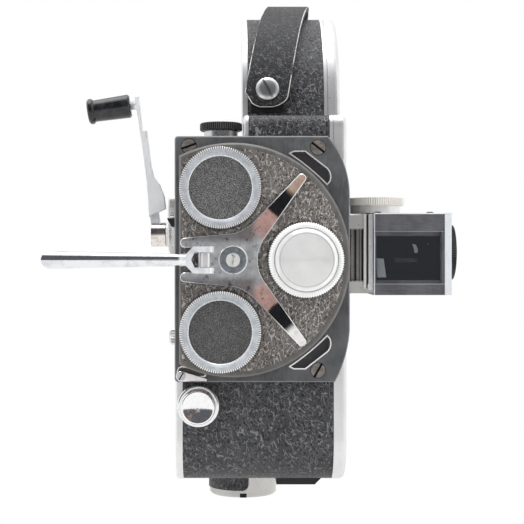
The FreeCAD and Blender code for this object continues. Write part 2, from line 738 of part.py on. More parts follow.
def base_boss():
    """The round boss under the body, with the tripod socket and a small notch."""
    boss = rod(BOSS_R, V(0, 0, 0), V(0, 0, 1), BOSS_H)
    boss = chamfered(boss, 0.8, lies_at("Z", 0))
    notch = box(-BOSS_NOTCH_W / 2, BOSS_NOTCH_W / 2, -BOSS_R - 1, BOSS_NOTCH_DEPTH - BOSS_R, 0, BOSS_NOTCH_H)
    boss = boss.cut(notch)
    return boss.cut(rod(SOCKET_R, V(0, 0, 0), V(0, 0, 1), SOCKET_DEPTH))


def foot_bar():
    """A low bar under the body beside the boss, with a slanted right end."""
    low = BODY_BOTTOM - FOOT_H
    points = [(FOOT_X1 - FOOT_H, low), (FOOT_X1, BODY_BOTTOM), (FOOT_X0, BODY_BOTTOM)]
    return slab(outline((FOOT_X0, low), points, at_y(FOOT_Y0)), V(0, FOOT_Y1 - FOOT_Y0, 0))


def slotted_head(radius, height, centre, out, slot_turn, slot_w, slot_d):
    """A round screw head rising from its centre along out, with a slot turned about out."""
    head = rod(radius, centre, out, height)
    side = 2 * radius + 2
    slot = Part.makeBox(side, slot_w, slot_d + 1, V(-side / 2, -slot_w / 2, height - slot_d))
    slot.rotate(V(0, 0, 0), V(0, 0, 1), slot_turn)
    turn = FreeCAD.Rotation(V(0, 0, 1), out)
    slot.Placement = FreeCAD.Placement(centre, turn).multiply(slot.Placement)
    return head.cut(slot)


def plate_outline(inset, y):
    """The front plate's outline: square on the left, bowed on the right."""
    left, right = BODY_LEFT - TURRET_X + inset, PLATE_RIGHT - inset
    top, bottom = PLATE_TOP - inset, -PLATE_BOTTOM + inset
    steps = [
        (PLATE_TOP_RUN - inset, top),
        ((PLATE_UPPER_BOW[0] - inset, PLATE_UPPER_BOW[1]), (right, PLATE_SIDE_TOP)),
        (right, -PLATE_SIDE_BOTTOM),
        ((PLATE_LOWER_BOW[0] - inset, PLATE_LOWER_BOW[1]), (PLATE_BOTTOM_RUN - inset, bottom)),
        (left, bottom),
    ]
    return outline((left, top), steps, from_turret(y))


def front_plate():
    """The thick plate that carries the turret, with its seats and ports."""
    plate = slab(plate_outline(0, PLATE_Y), V(0, PLATE_T, 0))
    for z in (TURRET_Z + PLATE_TOP, TURRET_Z - PLATE_BOTTOM):
        plate = filleted(plate, PLATE_CORNER_R, upright_edge(BODY_LEFT, z))
    plate = chamfered(plate, PLATE_EDGE, lies_at("Y", PLATE_Y))
    back = V(0, 1, 0)
    for x, z, _ in PLATE_SCREWS:
        seat = V(TURRET_X + x, PLATE_Y, TURRET_Z + z)
        plate = plate.cut(rod(PLATE_SCREW_R + RUN_GAP, seat, back, PLATE_SCREW_T))
        plate = plate.cut(rod(PLATE_SHANK_R + SEAT_GAP, seat, back, PLATE_SCREW_T + PLATE_SHANK_L + SEAT_GAP))
    for side in (1, -1):
        plate = plate.cut(slab(crescent_outline(side, PLATE_Y), V(0, CRESCENT_SINK, 0)))
    plate = plate.cut(rod(PIVOT_R, V(TURRET_X, PLATE_Y, TURRET_Z), back, PLATE_T))
    plate = plate.cut(rod(LIGHT_HOLE_R, V(FILM_X, PLATE_Y, TURRET_Z), back, PLATE_T))
    lock = V(TURRET_X - LOCK_X, PLATE_Y, TURRET_Z - LOCK_Z)
    return plate.cut(rod(LOCK_PIN_R, lock, back, LOCK_PIN_L + SEAT_GAP))


def crescent_outline(side, y):
    """A window between the turret's rim and the plate's corner, above (1) or below (-1)."""
    rim = TURRET_R + CRESCENT_GAP
    first, last = CRESCENT_SPAN
    start = corner(0, 0, rim, side * last)
    middle = corner(0, 0, rim - 0.5, side * (first + last) / 2)
    end = corner(0, 0, rim, side * first)
    steps = [
        (start[0] + 2.2, start[1] + side * 1.1),
        (start[0] + CRESCENT_W, start[1] + side * 1.1),
        (end[0] + 0.3, end[1] + side * CRESCENT_H),
        ((end[0] + 1.7, end[1] + side * 3.9), (end[0] + 1.3, end[1] + side * 1.5)),
        end,
        (middle, start),
    ]
    return outline(start, steps, from_turret(y))


def crescent_trims():
    """The two bright frames let into the plate beside the turret."""
    trims = []
    for side in (1, -1):
        face = Part.Face(crescent_outline(side, PLATE_Y - CRESCENT_RISE))
        ring = face.cut(face.makeOffset2D(-CRESCENT_WALL))
        trims.append(ring.extrude(V(0, CRESCENT_SINK + CRESCENT_RISE, 0)))
    return trims


def front_screws():
    """The slotted screws of the front plate and the lock lever's pivot screw."""
    screws = []
    for x, z, turn in PLATE_SCREWS:
        seat = V(TURRET_X + x, PLATE_Y + PLATE_SCREW_T, TURRET_Z + z)
        head = slotted_head(PLATE_SCREW_R, PLATE_SCREW_T, seat, V(0, -1, 0), turn, PLATE_SLOT_W, PLATE_SLOT_D)
        shank = rod(PLATE_SHANK_R, seat, V(0, 1, 0), PLATE_SHANK_L)
        screws.append(head.fuse(shank))
    return screws + [lock_screw()]


def lock_screw():
    """The shouldered pivot screw of the turret lock lever."""
    x, z = TURRET_X - LOCK_X, TURRET_Z - LOCK_Z
    face = PLATE_Y - SEAT_GAP - LOCK_T - SEAT_GAP
    head = slotted_head(LOCK_SCREW_R, LOCK_SCREW_H, V(x, face, z), V(0, -1, 0), 60.0, 0.5, 0.45)
    return head.fuse(rod(LOCK_PIN_R, V(x, face, z), V(0, 1, 0), LOCK_T + 2 * SEAT_GAP + LOCK_PIN_L))


def lock_lever():
    """The tapered lever that holds the turret, at the plate's lower left corner."""
    slope = math.degrees(math.asin((LOCK_ROOT_R - LOCK_TIP_R) / LOCK_LENGTH))
    steps = [
        ((-LOCK_ROOT_R, 0), corner(0, 0, LOCK_ROOT_R, 270 + slope)),
        corner(LOCK_LENGTH, 0, LOCK_TIP_R, 270 + slope),
        ((LOCK_LENGTH + LOCK_TIP_R, 0), corner(LOCK_LENGTH, 0, LOCK_TIP_R, 90 - slope)),
    ]
    face = PLATE_Y - SEAT_GAP - LOCK_T
    wire = outline(corner(0, 0, LOCK_ROOT_R, 90 - slope), steps, at_y(face))
    lever = slab(wire, V(0, LOCK_T, 0))
    lever = chamfered(lever, 0.25, lies_at("Y", face))
    lever = lever.cut(rod(LOCK_PIN_R + RUN_GAP, V(0, face, 0), V(0, 1, 0), LOCK_T))
    lever.rotate(V(0, 0, 0), V(0, 1, 0), slope)
    lever.translate(V(TURRET_X - LOCK_X, 0, TURRET_Z - LOCK_Z))
    return lever


def ports():
    """The port centres: the taking port on the right, then the upper and lower left ones."""
    return [corner(TURRET_X, TURRET_Z, PORT_CIRCLE_R, side * PORT_STEP) for side in (0, 1, -1)]


def turret_face(radius, flat, y, thick):
    """A disc with a flat on its left, in front of the plane y + thick."""
    disc = rod(radius, V(TURRET_X, y, TURRET_Z), V(0, 1, 0), thick)
    reach = radius + 1
    return disc.cut(box(TURRET_X - 2 * reach, TURRET_X - flat, y - 1, y + thick + 1,
                        TURRET_Z - reach, TURRET_Z + reach))


def turret_disc():
    """The lens turret's disc, with a bevelled rim, three ports and the pivot's bore."""
    disc = turret_face(TURRET_R, TURRET_FLAT, TURRET_FACE, TURRET_T)
    disc = chamfered(disc, TURRET_BEVEL, lies_at("Y", TURRET_FACE))
    for x, z in ports():
        disc = disc.cut(rod(PORT_R, V(x, TURRET_FACE, z), V(0, 1, 0), TURRET_T))
    return disc.cut(rod(PIVOT_R + RUN_GAP, V(TURRET_X, TURRET_FACE, TURRET_Z), V(0, 1, 0), TURRET_T))


def turret_covering():
    """The grained covering on the turret's face."""
    cover = turret_face(TURRET_R - TURRET_COVER_IN, TURRET_FLAT - TURRET_COVER_IN * 0.5, COVERING_Y,
                        TURRET_COVER_T)
    for x, z in ports():
        cover = cover.cut(rod(PORT_R + COVER_PORT_GAP, V(x, COVERING_Y, z), V(0, 1, 0), TURRET_COVER_T))
    return cover.cut(rod(PIVOT_R + 1, V(TURRET_X, COVERING_Y, TURRET_Z), V(0, 1, 0), TURRET_COVER_T))


def turret_pivot():
    """The stud in the front plate that the turret turns on, with its slotted screw and washer."""
    stud = rod(PIVOT_R, V(TURRET_X, BODY_FRONT + WALL, TURRET_Z), V(0, -1, 0),
               BODY_FRONT + WALL - SPIDER_Y + SEAT_GAP)
    base = V(TURRET_X, SPIDER_Y - SEAT_GAP, TURRET_Z)
    washer = rod(HUB_R, base, V(0, -1, 0), HUB_T)
    washer = chamfered(washer, 0.3, lies_at("Y", base.y - HUB_T))
    head = slotted_head(HUB_SCREW_R, HUB_SCREW_H, base - V(0, HUB_T, 0), V(0, -1, 0), 80.0, 0.8, 0.7)
    return stud.fuse(washer).fuse(head)


def cap_parts(index):
    """The centre of a port at the covering's plane, and the plug that fills the port behind it."""
    x, z = ports()[index]
    back = V(x, COVERING_Y - SEAT_GAP, z)
    plug = rod(PORT_R - RUN_GAP, back, V(0, 1, 0), CAP_PLUG_L + TURRET_COVER_T)
    return back, plug


def side_cap_ring(index):
    """The toothed ring of a cap over an unused port."""
    back, plug = cap_parts(index)
    top = back - V(0, SIDE_CAP_H, 0)
    out = V(0, -1, 0)
    place = lambda p: V(back.x + p[0], back.y, back.z + p[1])
    ring = knurled(SIDE_CAP_R, SIDE_CAP_TEETH, CAP_TOOTH, SIDE_CAP_H, place, out)
    low = SIDE_CAP_H - 2 * SIDE_CAP_EDGE
    crown = Part.makeCone(SIDE_CAP_R + SIDE_CAP_EDGE, SIDE_CAP_R - SIDE_CAP_EDGE, 2 * SIDE_CAP_EDGE,
                          back + out * low, out)
    ring = ring.common(rod(SIDE_CAP_R + 1, back, out, low).fuse(crown))
    lip = Part.makeCone(SIDE_CAP_FACE_R + SIDE_CAP_LIP, SIDE_CAP_FACE_R, SIDE_CAP_LIP, top, V(0, 1, 0))
    dish = rod(SIDE_CAP_FACE_R, top, V(0, 1, 0), SIDE_CAP_DISH + DISC_T)
    bore = rod(PORT_R - RUN_GAP - PORT_SEAT, top, V(0, 1, 0), SIDE_CAP_H + CAP_PLUG_L + 1)
    return ring.fuse(plug).cut(lip).cut(dish).cut(bore)


def side_cap_disc(index):
    """The crackle-painted disc in a side cap."""
    back, _ = cap_parts(index)
    front = back.y - SIDE_CAP_H + SIDE_CAP_DISH
    return rod(SIDE_CAP_FACE_R, V(back.x, front, back.z), V(0, 1, 0), DISC_T)


def front_cap():
    """The turned cap over the taking port, with its toothed edge and stepped face."""
    back, plug = cap_parts(0)
    out = V(0, -1, 0)
    place = lambda p: V(back.x + p[0], back.y, back.z + p[1])
    edge = knurled(FRONT_CAP_R, FRONT_CAP_TEETH, CAP_TOOTH, FRONT_CAP_H, place, out)
    low = FRONT_CAP_H - 2 * FRONT_CAP_EDGE
    trim = Part.makeCone(FRONT_CAP_R + FRONT_CAP_EDGE, FRONT_CAP_R - FRONT_CAP_EDGE, 2 * FRONT_CAP_EDGE,
                         back + out * low, out)
    edge = edge.common(rod(FRONT_CAP_R + 1, back, out, low).fuse(trim))
    top = back - V(0, FRONT_CAP_H, 0)
    groove = rod(FRONT_CAP_STEP_R + FRONT_CAP_GROOVE, top, V(0, 1, 0), FRONT_CAP_GROOVE)
    groove = groove.cut(rod(FRONT_CAP_STEP_R, top, V(0, 1, 0), FRONT_CAP_GROOVE))
    step = Part.makeCone(FRONT_CAP_STEP_R, FRONT_CAP_FACE_R, FRONT_CAP_RISE, top, out)
    return edge.cut(groove).fuse(step).fuse(plug)


def spider_plate():
    """The bright plate under the hub: two arms to the right and two fingers to the left."""
    mirrored = [(x, -z) for x, z, _ in reversed(SPIDER_HALF)]
    steps = [(x, z) for x, z, _ in SPIDER_HALF] + mirrored + [(SPIDER_WAIST[0], -SPIDER_WAIST[1])]
    closing = ((PORT_CIRCLE_R - SPIDER_CLEAR_R, 0), SPIDER_WAIST)
    plate = slab(outline(SPIDER_WAIST, steps + [closing], from_turret(SPIDER_Y)), V(0, SPIDER_T, 0))
    for x, z, radius in SPIDER_HALF:
        plate = filleted(plate, radius, upright_edge(TURRET_X + x, TURRET_Z + z))
        plate = filleted(plate, radius, upright_edge(TURRET_X + x, TURRET_Z - z))
    return chamfered(plate, SPIDER_EDGE, lies_at("Y", SPIDER_Y))


def upright_edge(x, z):
    """Picks the edge along Y that stands at one x and z."""
    def test(edge):
        box_of = edge.BoundBox
        return box_of.XLength < 1e-4 and box_of.ZLength < 1e-4 and abs(box_of.XMin - x) < 1e-3 and abs(
            box_of.ZMin - z) < 1e-3
    return test


def turret_spider():
    """The spider plate with the lug of the turret lever."""
    foot = lever_pin_start() + V(0, 0, FORK_HALF - LEVER_LUG_HALF)
    lug = rod(LEVER_LUG_R, foot, V(0, 0, 1), 2 * LEVER_LUG_HALF)
    stem = box(foot.x - LEVER_LUG_R, foot.x + LEVER_LUG_R, foot.y, SPIDER_Y + SPIDER_T, foot.z,
               foot.z + 2 * LEVER_LUG_HALF)
    spider = spider_plate().fuse(lug).fuse(stem).removeSplitter()
    spider = spider.cut(rod(PIVOT_R + RUN_GAP, V(TURRET_X, SPIDER_Y - 1, TURRET_Z), V(0, 1, 0), SPIDER_T + 2))
    return spider.cut(lever_pin())


def lever_pin_start():
    """The lower end of the turret lever's hinge pin."""
    return V(TURRET_X - LEVER_PIN_X, SPIDER_Y - LEVER_PIN_H, TURRET_Z - FORK_HALF)


def lever_pin():
    """The hinge pin through lug and fork."""
    return rod(LEVER_PIN_R, lever_pin_start(), V(0, 0, 1), 2 * FORK_HALF)


def lever_fork(pin, back):
    """The lever's forked root: two prongs round the lug, with a pointed gap between them."""
    x_root = TURRET_X - LEVER_ROOT_X
    side = outline((pin.x, pin.y - FORK_R), [((pin.x + FORK_R, pin.y), (pin.x, pin.y + FORK_R)),
                   (x_root, back), (x_root, back - LEVER_H)], at_z(pin.z - FORK_HALF))
    end = FORK_R - LEVER_PIN_X
    plan = [(-FORK_SHOULDER_X, FORK_HALF), (end, FORK_HALF), (end, -FORK_HALF),
            (-FORK_SHOULDER_X, -FORK_HALF), (-LEVER_ROOT_X, -LEVER_ROOT_HALF)]
    gap = [(-FORK_WALL_X, FORK_GAP_HALF), (end, FORK_GAP_HALF), (end, -FORK_GAP_HALF),
           (-FORK_WALL_X, -FORK_GAP_HALF)]
    place, through = from_turret(pin.y - 2 * FORK_R), V(0, 4 * FORK_R, 0)
    fork = slab(side, V(0, 0, 2 * FORK_HALF))
    fork = fork.common(slab(outline((-LEVER_ROOT_X, LEVER_ROOT_HALF), plan, place), through))
    return fork.cut(slab(outline((-FORK_POINT_X, 0), gap, place), through))


def turret_lever():
    """The long folding lever that turns the turret: a half-round bar, wider towards its tip."""
    pin = lever_pin_start() + V(0, 0, FORK_HALF)
    back = pin.y + LEVER_BACK
    x_root = TURRET_X - LEVER_ROOT_X
    x_end = TURRET_X - LEVER_TIP_X + LEVER_TIP_HALF
    sections = [half_round(x, LEVER_ROOT_HALF + (LEVER_TIP_HALF - LEVER_ROOT_HALF) * i / 2, back)
                for i, x in enumerate((x_root, (x_root + x_end) / 2, x_end))]
    bar = Part.makeLoft(sections, True, False)
    tip = slab(half_round(x_end, LEVER_TIP_HALF, back), V(-LEVER_TIP_HALF, 0, 0))
    tip = tip.common(rod(LEVER_TIP_HALF, V(x_end, back + 1, pin.z), V(0, -1, 0), LEVER_H + 3))
    lever = bar.fuse(tip).fuse(lever_fork(pin, back)).removeSplitter()
    bore = rod(LEVER_PIN_R + RUN_GAP, lever_pin_start() - V(0, 0, 1), V(0, 0, 1), 2 * FORK_HALF + 2)
    return lever.cut(bore)


def half_round(x, half, back):
    """The lever's section in the plane of one x: flat at the back, domed in front."""
    side = 1.2
    steps = [
        (back - side, TURRET_Z + half),
        ((back - LEVER_H, TURRET_Z), (back - side, TURRET_Z - half)),
        (back, TURRET_Z - half),
    ]
    return outline((back, TURRET_Z + half), steps, at_x(x))


def button_place(y):
    """The release button's axis at one y."""
    return V(TURRET_X - BUTTON_X, y, TURRET_Z - BUTTON_Z)


def release_collar():
    """The fixed chrome ring round the release button, screwed to the front."""
    face = BODY_FRONT - COLLAR_H
    collar = rod(COLLAR_R, button_place(face), V(0, 1, 0), COLLAR_H + LEATHER_T)
    collar = filleted(collar, 0.9, lies_at("Y", face))
    room = rod(BUTTON_R + RUN_GAP, button_place(face - 1), V(0, 1, 0), COLLAR_H + 1 - COLLAR_LIP)
    collar = collar.cut(room)
    return collar.cut(rod(BUTTON_STEM_R + RUN_GAP, button_place(face), V(0, 1, 0), COLLAR_H + 2))


def release_button():
    """The domed button with its stem, which passes through the front wall."""
    base = BODY_FRONT - COLLAR_LIP - BUTTON_TRAVEL - 0.4
    rim = BODY_FRONT - COLLAR_H - BUTTON_H + 2.0
    button = rod(BUTTON_R, button_place(base), V(0, -1, 0), base - rim)
    dome = Part.makeSphere(13.2)
    dome.translate(button_place(rim - 2.0 + 13.2))
    button = button.fuse(rod(BUTTON_R, button_place(rim), V(0, -1, 0), 2.0)).common(dome.fuse(
        rod(BUTTON_R, button_place(base), V(0, -1, 0), base - rim)))
    stem = rod(BUTTON_STEM_R, button_place(base), V(0, 1, 0), BODY_FRONT + WALL + 1.2 - base)
    return button.removeSplitter().fuse(stem)


def release_spring():
    """The coil spring under the button, round its stem."""
    start = BODY_FRONT - COLLAR_LIP - SPRING_WIRE_R - 0.05
    end = BODY_FRONT - COLLAR_LIP - BUTTON_TRAVEL - 0.4 + SPRING_WIRE_R + 0.05
    height = start - end
    radius = (BUTTON_STEM_R + BUTTON_R) / 2
    helix = Part.makeHelix(height / SPRING_TURNS, height, radius)
    section = Part.Wire(Part.Circle(V(radius, 0, 0), V(0, 1, 0), SPRING_WIRE_R).toShape())
    spring = Part.Wire(helix.Edges).makePipeShell([section], True, True)
    spring.rotate(V(0, 0, 0), V(1, 0, 0), 90)
    spring.translate(button_place(start))
    return spring


def upright(radius, z, height):
    """A cylinder on the focusing magnifier's axis."""
    return rod(radius, V(MAGNIFIER_X, MAGNIFIER_MID_Y, z), V(0, 0, 1), height)


def magnifier_neck():
    """The magnifier's tube through the top of the cover, with its flange."""
    neck = upright(MAGNIFIER_TUBE_R, COVER_TOP - MAGNIFIER_DEPTH, MAGNIFIER_DEPTH + MAGNIFIER_NECK_H)
    neck = neck.fuse(upright(MAGNIFIER_NECK_R, COVER_TOP, MAGNIFIER_NECK_H)).removeSplitter()
    top = COVER_TOP + MAGNIFIER_NECK_H
    spigot = upright(MAGNIFIER_SPIGOT_R, top, MAGNIFIER_SPIGOT_L)
    bore = upright(MAGNIFIER_BORE_R, COVER_TOP - MAGNIFIER_DEPTH, 2 * MAGNIFIER_DEPTH)
    return neck.fuse(spigot).cut(bore)


def magnifier_lens():
    """The two lenses in the magnifier's tube."""
    top = COVER_TOP + MAGNIFIER_NECK_H - LENS_T
    return [upright(MAGNIFIER_BORE_R, z, LENS_T) for z in (top, COVER_TOP - MAGNIFIER_DEPTH + 1.0)]


def magnifier_ring():
    """The knurled focusing ring on top of the magnifier, its edges rounded off."""
    low = COVER_TOP + MAGNIFIER_NECK_H + SEAT_GAP
    high = low + MAGNIFIER_RING_H
    place = lambda p: V(MAGNIFIER_X + p[0], MAGNIFIER_MID_Y + p[1], low)
    ring = knurled(MAGNIFIER_RING_R, 60, KNURL_DEPTH, MAGNIFIER_RING_H, place, V(0, 0, 1))
    blank = upright(MAGNIFIER_RING_R, low, MAGNIFIER_RING_H)
    ring = ring.common(filleted(blank, MAGNIFIER_EDGE, lies_at_either("Z", low, high)))
    ring = ring.cut(upright(MAGNIFIER_SPIGOT_R + RUN_GAP, low - 1, MAGNIFIER_SPIGOT_L + 1))
    return ring.cut(upright(MAGNIFIER_EYE_R, low, MAGNIFIER_RING_H + 1))


def sideways(radius, y, z, x0, x1):
    """A cylinder along X between two planes."""
    return rod(radius, V(min(x0, x1), y, z), V(1, 0, 0), abs(x1 - x0))


def knuckle_x():
    """The crank knuckle's middle, where the arm is hinged."""
    return BODY_LEFT - CRANK_BOSS_H - SEAT_GAP - KNUCKLE_W / 2


def crank_bearing():
    """The fixed bearing that the crank's shaft turns in."""
    y, z = CRANK_AXIS.y, CRANK_AXIS.z
    bush = sideways(CRANK_BOSS_R, y, z, BODY_LEFT - CRANK_BOSS_H, BODY_LEFT)
    bush = chamfered(bush, 0.6, lies_at("X", BODY_LEFT - CRANK_BOSS_H))
    return bush.cut(sideways(CRANK_SHAFT_R + RUN_GAP, y, z, BODY_LEFT - CRANK_BOSS_H - 1, BODY_LEFT + 1))


def crank_hinge():
    """The folded arm's hinge: its X, Y and Z."""
    return knuckle_x() - CRANK_PIN_OFF, CRANK_AXIS.y, CRANK_AXIS.z


def crank_hub():
    """The crank's shaft with the forked knuckle that the arm folds in."""
    y, z, x = CRANK_AXIS.y, CRANK_AXIS.z, knuckle_x()
    half = KNUCKLE_W / 2
    shaft = sideways(CRANK_SHAFT_R, y, z, x, BARREL_X - BARREL_L - SWEEP_GAP)
    knuckle = sideways(KNUCKLE_R, y, z, x - half, x + half)
    slot = box(x - KNUCKLE_W, x + half - KNUCKLE_BACK, y - CRANK_TANG, y + CRANK_TANG, z - KNUCKLE_R - 1,
               z + KNUCKLE_R + 1)
    reach = KNUCKLE_R - CRANK_PIN_SINK
    pin = rod(CRANK_PIN_R, V(x - CRANK_PIN_OFF, y - reach, z), V(0, 1, 0), 2 * reach)
    return knuckle.fuse(shaft).cut(slot).fuse(pin).removeSplitter()


def crank_arm():
    """The flat folding arm, broad beside the knuckle, with the grip's pin and neck at its end."""
    x, y, z = crank_hinge()
    half, flat = CRANK_ARM_T / 2, CRANK_TANG - SEAT_GAP
    eye = rod(CRANK_EYE_R, V(x, y - flat, z), V(0, 1, 0), 2 * flat)
    low = CRANK_OUTLINE[1][1] * CRANK_ARM_L
    tang = box(x - CRANK_TANG_HALF, x + CRANK_TANG_HALF, y - flat, y + flat, z, z + low)
    points = [V(x + u, y - half, z + share * CRANK_ARM_L) for u, share in CRANK_OUTLINE]
    blade = Part.Face(Part.makePolygon(points + points[:1])).extrude(V(0, CRANK_ARM_T, 0))
    blade = filleted(blade, CRANK_ARM_EDGE, lies_at_either("Y", y - half, y + half))
    out, zg = V(-1, 0, 0), z + CRANK_ARM_L - CRANK_END
    root = V(x - CRANK_SIDE + 0.4, y, zg)
    neck = Part.makeCone(GRIP_FLARE_R, GRIP_NECK_R, GRIP_NECK_L + 0.4, root, out)
    cap_at = V(grip_start() - GRIP_L + GRIP_CAP_SINK + GRIP_CAP_T, y, zg)
    pin = rod(GRIP_BORE_R - RUN_GAP, root, out, root.x - cap_at.x)
    arm = blade.fuse(tang).fuse(eye).fuse(neck).fuse(pin).fuse(rod(GRIP_CAP_R, cap_at, out, GRIP_CAP_T))
    arm = arm.removeSplitter().cut(rod(CRANK_PIN_R + RUN_GAP, V(x, y - half, z), V(0, 1, 0), CRANK_ARM_T))
    arm.rotate(V(x, y, z), V(0, 1, 0), -CRANK_LEAN)
    return arm


def grip_start():
    """The grip's inner end, before the arm is leant."""
    return crank_hinge()[0] - CRANK_SIDE - GRIP_NECK_L - SEAT_GAP


def crank_grip():
    """The black handgrip, slightly conical, free to spin on the arm's pin."""
    x, y, z = crank_hinge()
    zg, start = z + CRANK_ARM_L - CRANK_END, grip_start()
    end = start - GRIP_L
    room = GRIP_CAP_R + SEAT_GAP
    floor = end + GRIP_CAP_SINK + GRIP_CAP_T + SEAT_GAP
    flange = end + GRIP_FLANGE_L
    profile = [(start, GRIP_BORE_R), (start, GRIP_R0 - GRIP_EDGE), (start - GRIP_EDGE, GRIP_R0),
               (flange + 1.0, GRIP_R1), (flange, GRIP_FLANGE_R), (end + GRIP_EDGE, GRIP_FLANGE_R),
               (end, GRIP_FLANGE_R - GRIP_EDGE), (end, room), (floor, room), (floor, GRIP_BORE_R),
               (start, GRIP_BORE_R)]
    wire = Part.makePolygon([V(px, y, zg + pr) for px, pr in profile])
    grip = Part.Face(wire).revolve(V(x, y, zg), V(1, 0, 0), 360)
    grip.rotate(V(x, y, z), V(0, 1, 0), -CRANK_LEAN)
    return grip


def turned_knob(y, z, radius, height, teeth, depth, shaft_r):
    """A toothed knob on the cover's side, with its shaft through the wall."""
    place = lambda p: V(BODY_LEFT - SEAT_GAP, y + p[0], z + p[1])
    knob = knurled(radius, teeth, depth, height, place, V(-1, 0, 0))
    face = BODY_LEFT - SEAT_GAP - height
    blank = chamfered(sideways(radius, y, z, face, BODY_LEFT - SEAT_GAP), 2 * depth, lies_at("X", face))
    return knob.common(blank).fuse(sideways(shaft_r, y, z, BODY_LEFT - SEAT_GAP, BODY_LEFT + WALL + STEM_END))


def speed_dial():
    """The knurled filming-speed dial, with a groove for its scale."""
    y, z = BODY_FRONT + DIAL_Y, TURRET_Z + DIAL_Z
    face = BODY_LEFT - SEAT_GAP - DIAL_H
    dial = turned_knob(y, z, DIAL_R, DIAL_H, 72, KNURL_DEPTH, DIAL_SHAFT_R)
    ring = sideways(DIAL_GROOVE[1], y, z, face, face + DIAL_GROOVE_D)
    return dial.cut(ring.cut(sideways(DIAL_GROOVE[0], y, z, face, face + DIAL_GROOVE_D)))


def side_knob():
    """The small coarse-toothed knob near the front."""
    y, z = BODY_FRONT + SIDE_KNOB_Y, TURRET_Z - SIDE_KNOB_Z
    return turned_knob(y, z, SIDE_KNOB_R, SIDE_KNOB_H, 16, CAP_TOOTH, ARBOR_R)


def side_lever():
    """The exposure lever on the cover's side."""
    y, z = BODY_FRONT + SIDE_LEVER_Y, TURRET_Z - SIDE_LEVER_Z
    face = BODY_LEFT - SEAT_GAP
    hub = sideways(SIDE_LEVER_R, y, z, face - SIDE_LEVER_T, face)
    steps = [(y + 2.4, z - 1.0), (y + 1.6, z - SIDE_LEVER_L),
             ((y, z - SIDE_LEVER_L - 1.6), (y - 1.6, z - SIDE_LEVER_L))]
    blade = slab(outline((y - 2.4, z - 1.0), steps, at_x(face - SIDE_LEVER_T)), V(SIDE_LEVER_T, 0, 0))
    lever = hub.fuse(blade).removeSplitter()
    return lever.fuse(sideways(ARBOR_R, y, z, face, BODY_LEFT + WALL + STEM_END))


def counter_glass():
    """The flat glass of the footage counter."""
    y, z = BODY_FRONT + COUNTER_Y, TURRET_Z - COUNTER_Z
    return sideways(COUNTER_R, y, z, BODY_LEFT + LEATHER_T, BODY_LEFT + LEATHER_T + COUNTER_GLASS_T)


def counter_disc():
    """The turning footage disc behind the glass, on its arbor."""
    y, z = BODY_FRONT + COUNTER_Y, TURRET_Z - COUNTER_Z
    x = BODY_LEFT + LEATHER_T + COUNTER_GLASS_T + SWEEP_GAP
    disc = sideways(COUNTER_R - 0.2, y, z, x, x + 0.8)
    return disc.fuse(sideways(ARBOR_R, y, z, x + 0.8, BODY_LEFT + PLATE2_IN + PLATE2_T))


def toothed(teeth, x, thick, centre, phase):
    """A spur gear with straight-sided teeth; phase turns its first tooth, in degrees from +Y."""
    pitch_r = GEAR_MODULE * teeth / 2.0
    step = 360.0 / teeth
    root, tip = pitch_r - 1.2 * GEAR_MODULE, pitch_r + 0.9 * GEAR_MODULE
    tooth = ((root, -0.31), (pitch_r, -0.22), (tip, -0.10), (tip, 0.10), (pitch_r, 0.22), (root, 0.31))
    points = []
    for i in range(teeth):
        for radius, part in tooth:
            y, z = corner(centre[0], centre[1], radius, phase + (i + part) * step)
            points.append(V(x, y, z))
    points.append(points[0])
    return Part.Face(Part.makePolygon(points)).extrude(V(thick, 0, 0))


def train():
    """The (y, z) centres of the barrel, the intermediate arbor and the governor."""
    barrel = (CRANK_AXIS.y, CRANK_AXIS.z)
    wheel = corner(*barrel, GEAR_MODULE * (BARREL_TEETH + PINION_TEETH) / 2, TRAIN_DROP_ANGLE)
    governor = corner(*wheel, GEAR_MODULE * (WHEEL_TEETH + PINION_TEETH) / 2, TRAIN_DROP_ANGLE)
    return barrel, wheel, governor


def mainspring_barrel():
    """The drum that holds the mainspring, with its gear; it turns on the crank's line."""
    centre, wheel, _ = train()
    gear = toothed(BARREL_TEETH, BARREL_X, GEAR_T, centre, TRAIN_DROP_ANGLE)
    drum = sideways(BARREL_R, *centre, BARREL_X - BARREL_L, BARREL_X)
    drum = drum.cut(sideways(BARREL_R - 1.2, *centre, BARREL_X - BARREL_L + 1.0, BARREL_X))
    pivot = sideways(ARBOR_R, *centre, BARREL_X, DIVIDER_X + 1.5)
    return gear.fuse(drum).fuse(pivot)


def mainspring():
    """The wound spring inside its barrel, as one closed ring of the pack's size."""
    centre = train()[0]
    x0, x1 = BARREL_X - BARREL_L + 1.2, BARREL_X - 0.2
    return sideways(BARREL_R - 1.4, *centre, x0, x1).cut(sideways(8.0, *centre, x0 - 1, x1 + 1))


def intermediate_wheel():
    """The arbor between barrel and governor, with a pinion and a wheel."""
    _, centre, _ = train()
    half_tooth = 180.0 / PINION_TEETH
    pinion = toothed(PINION_TEETH, BARREL_X - 0.7, PINION_L, centre, TRAIN_DROP_ANGLE + 180 + half_tooth)
    wheel = toothed(WHEEL_TEETH, WHEEL_X, GEAR_T, centre, TRAIN_DROP_ANGLE)
    return pinion.fuse(wheel).fuse(sideways(ARBOR_R, *centre, PLATE2_X, DIVIDER_X - SEAT_GAP))


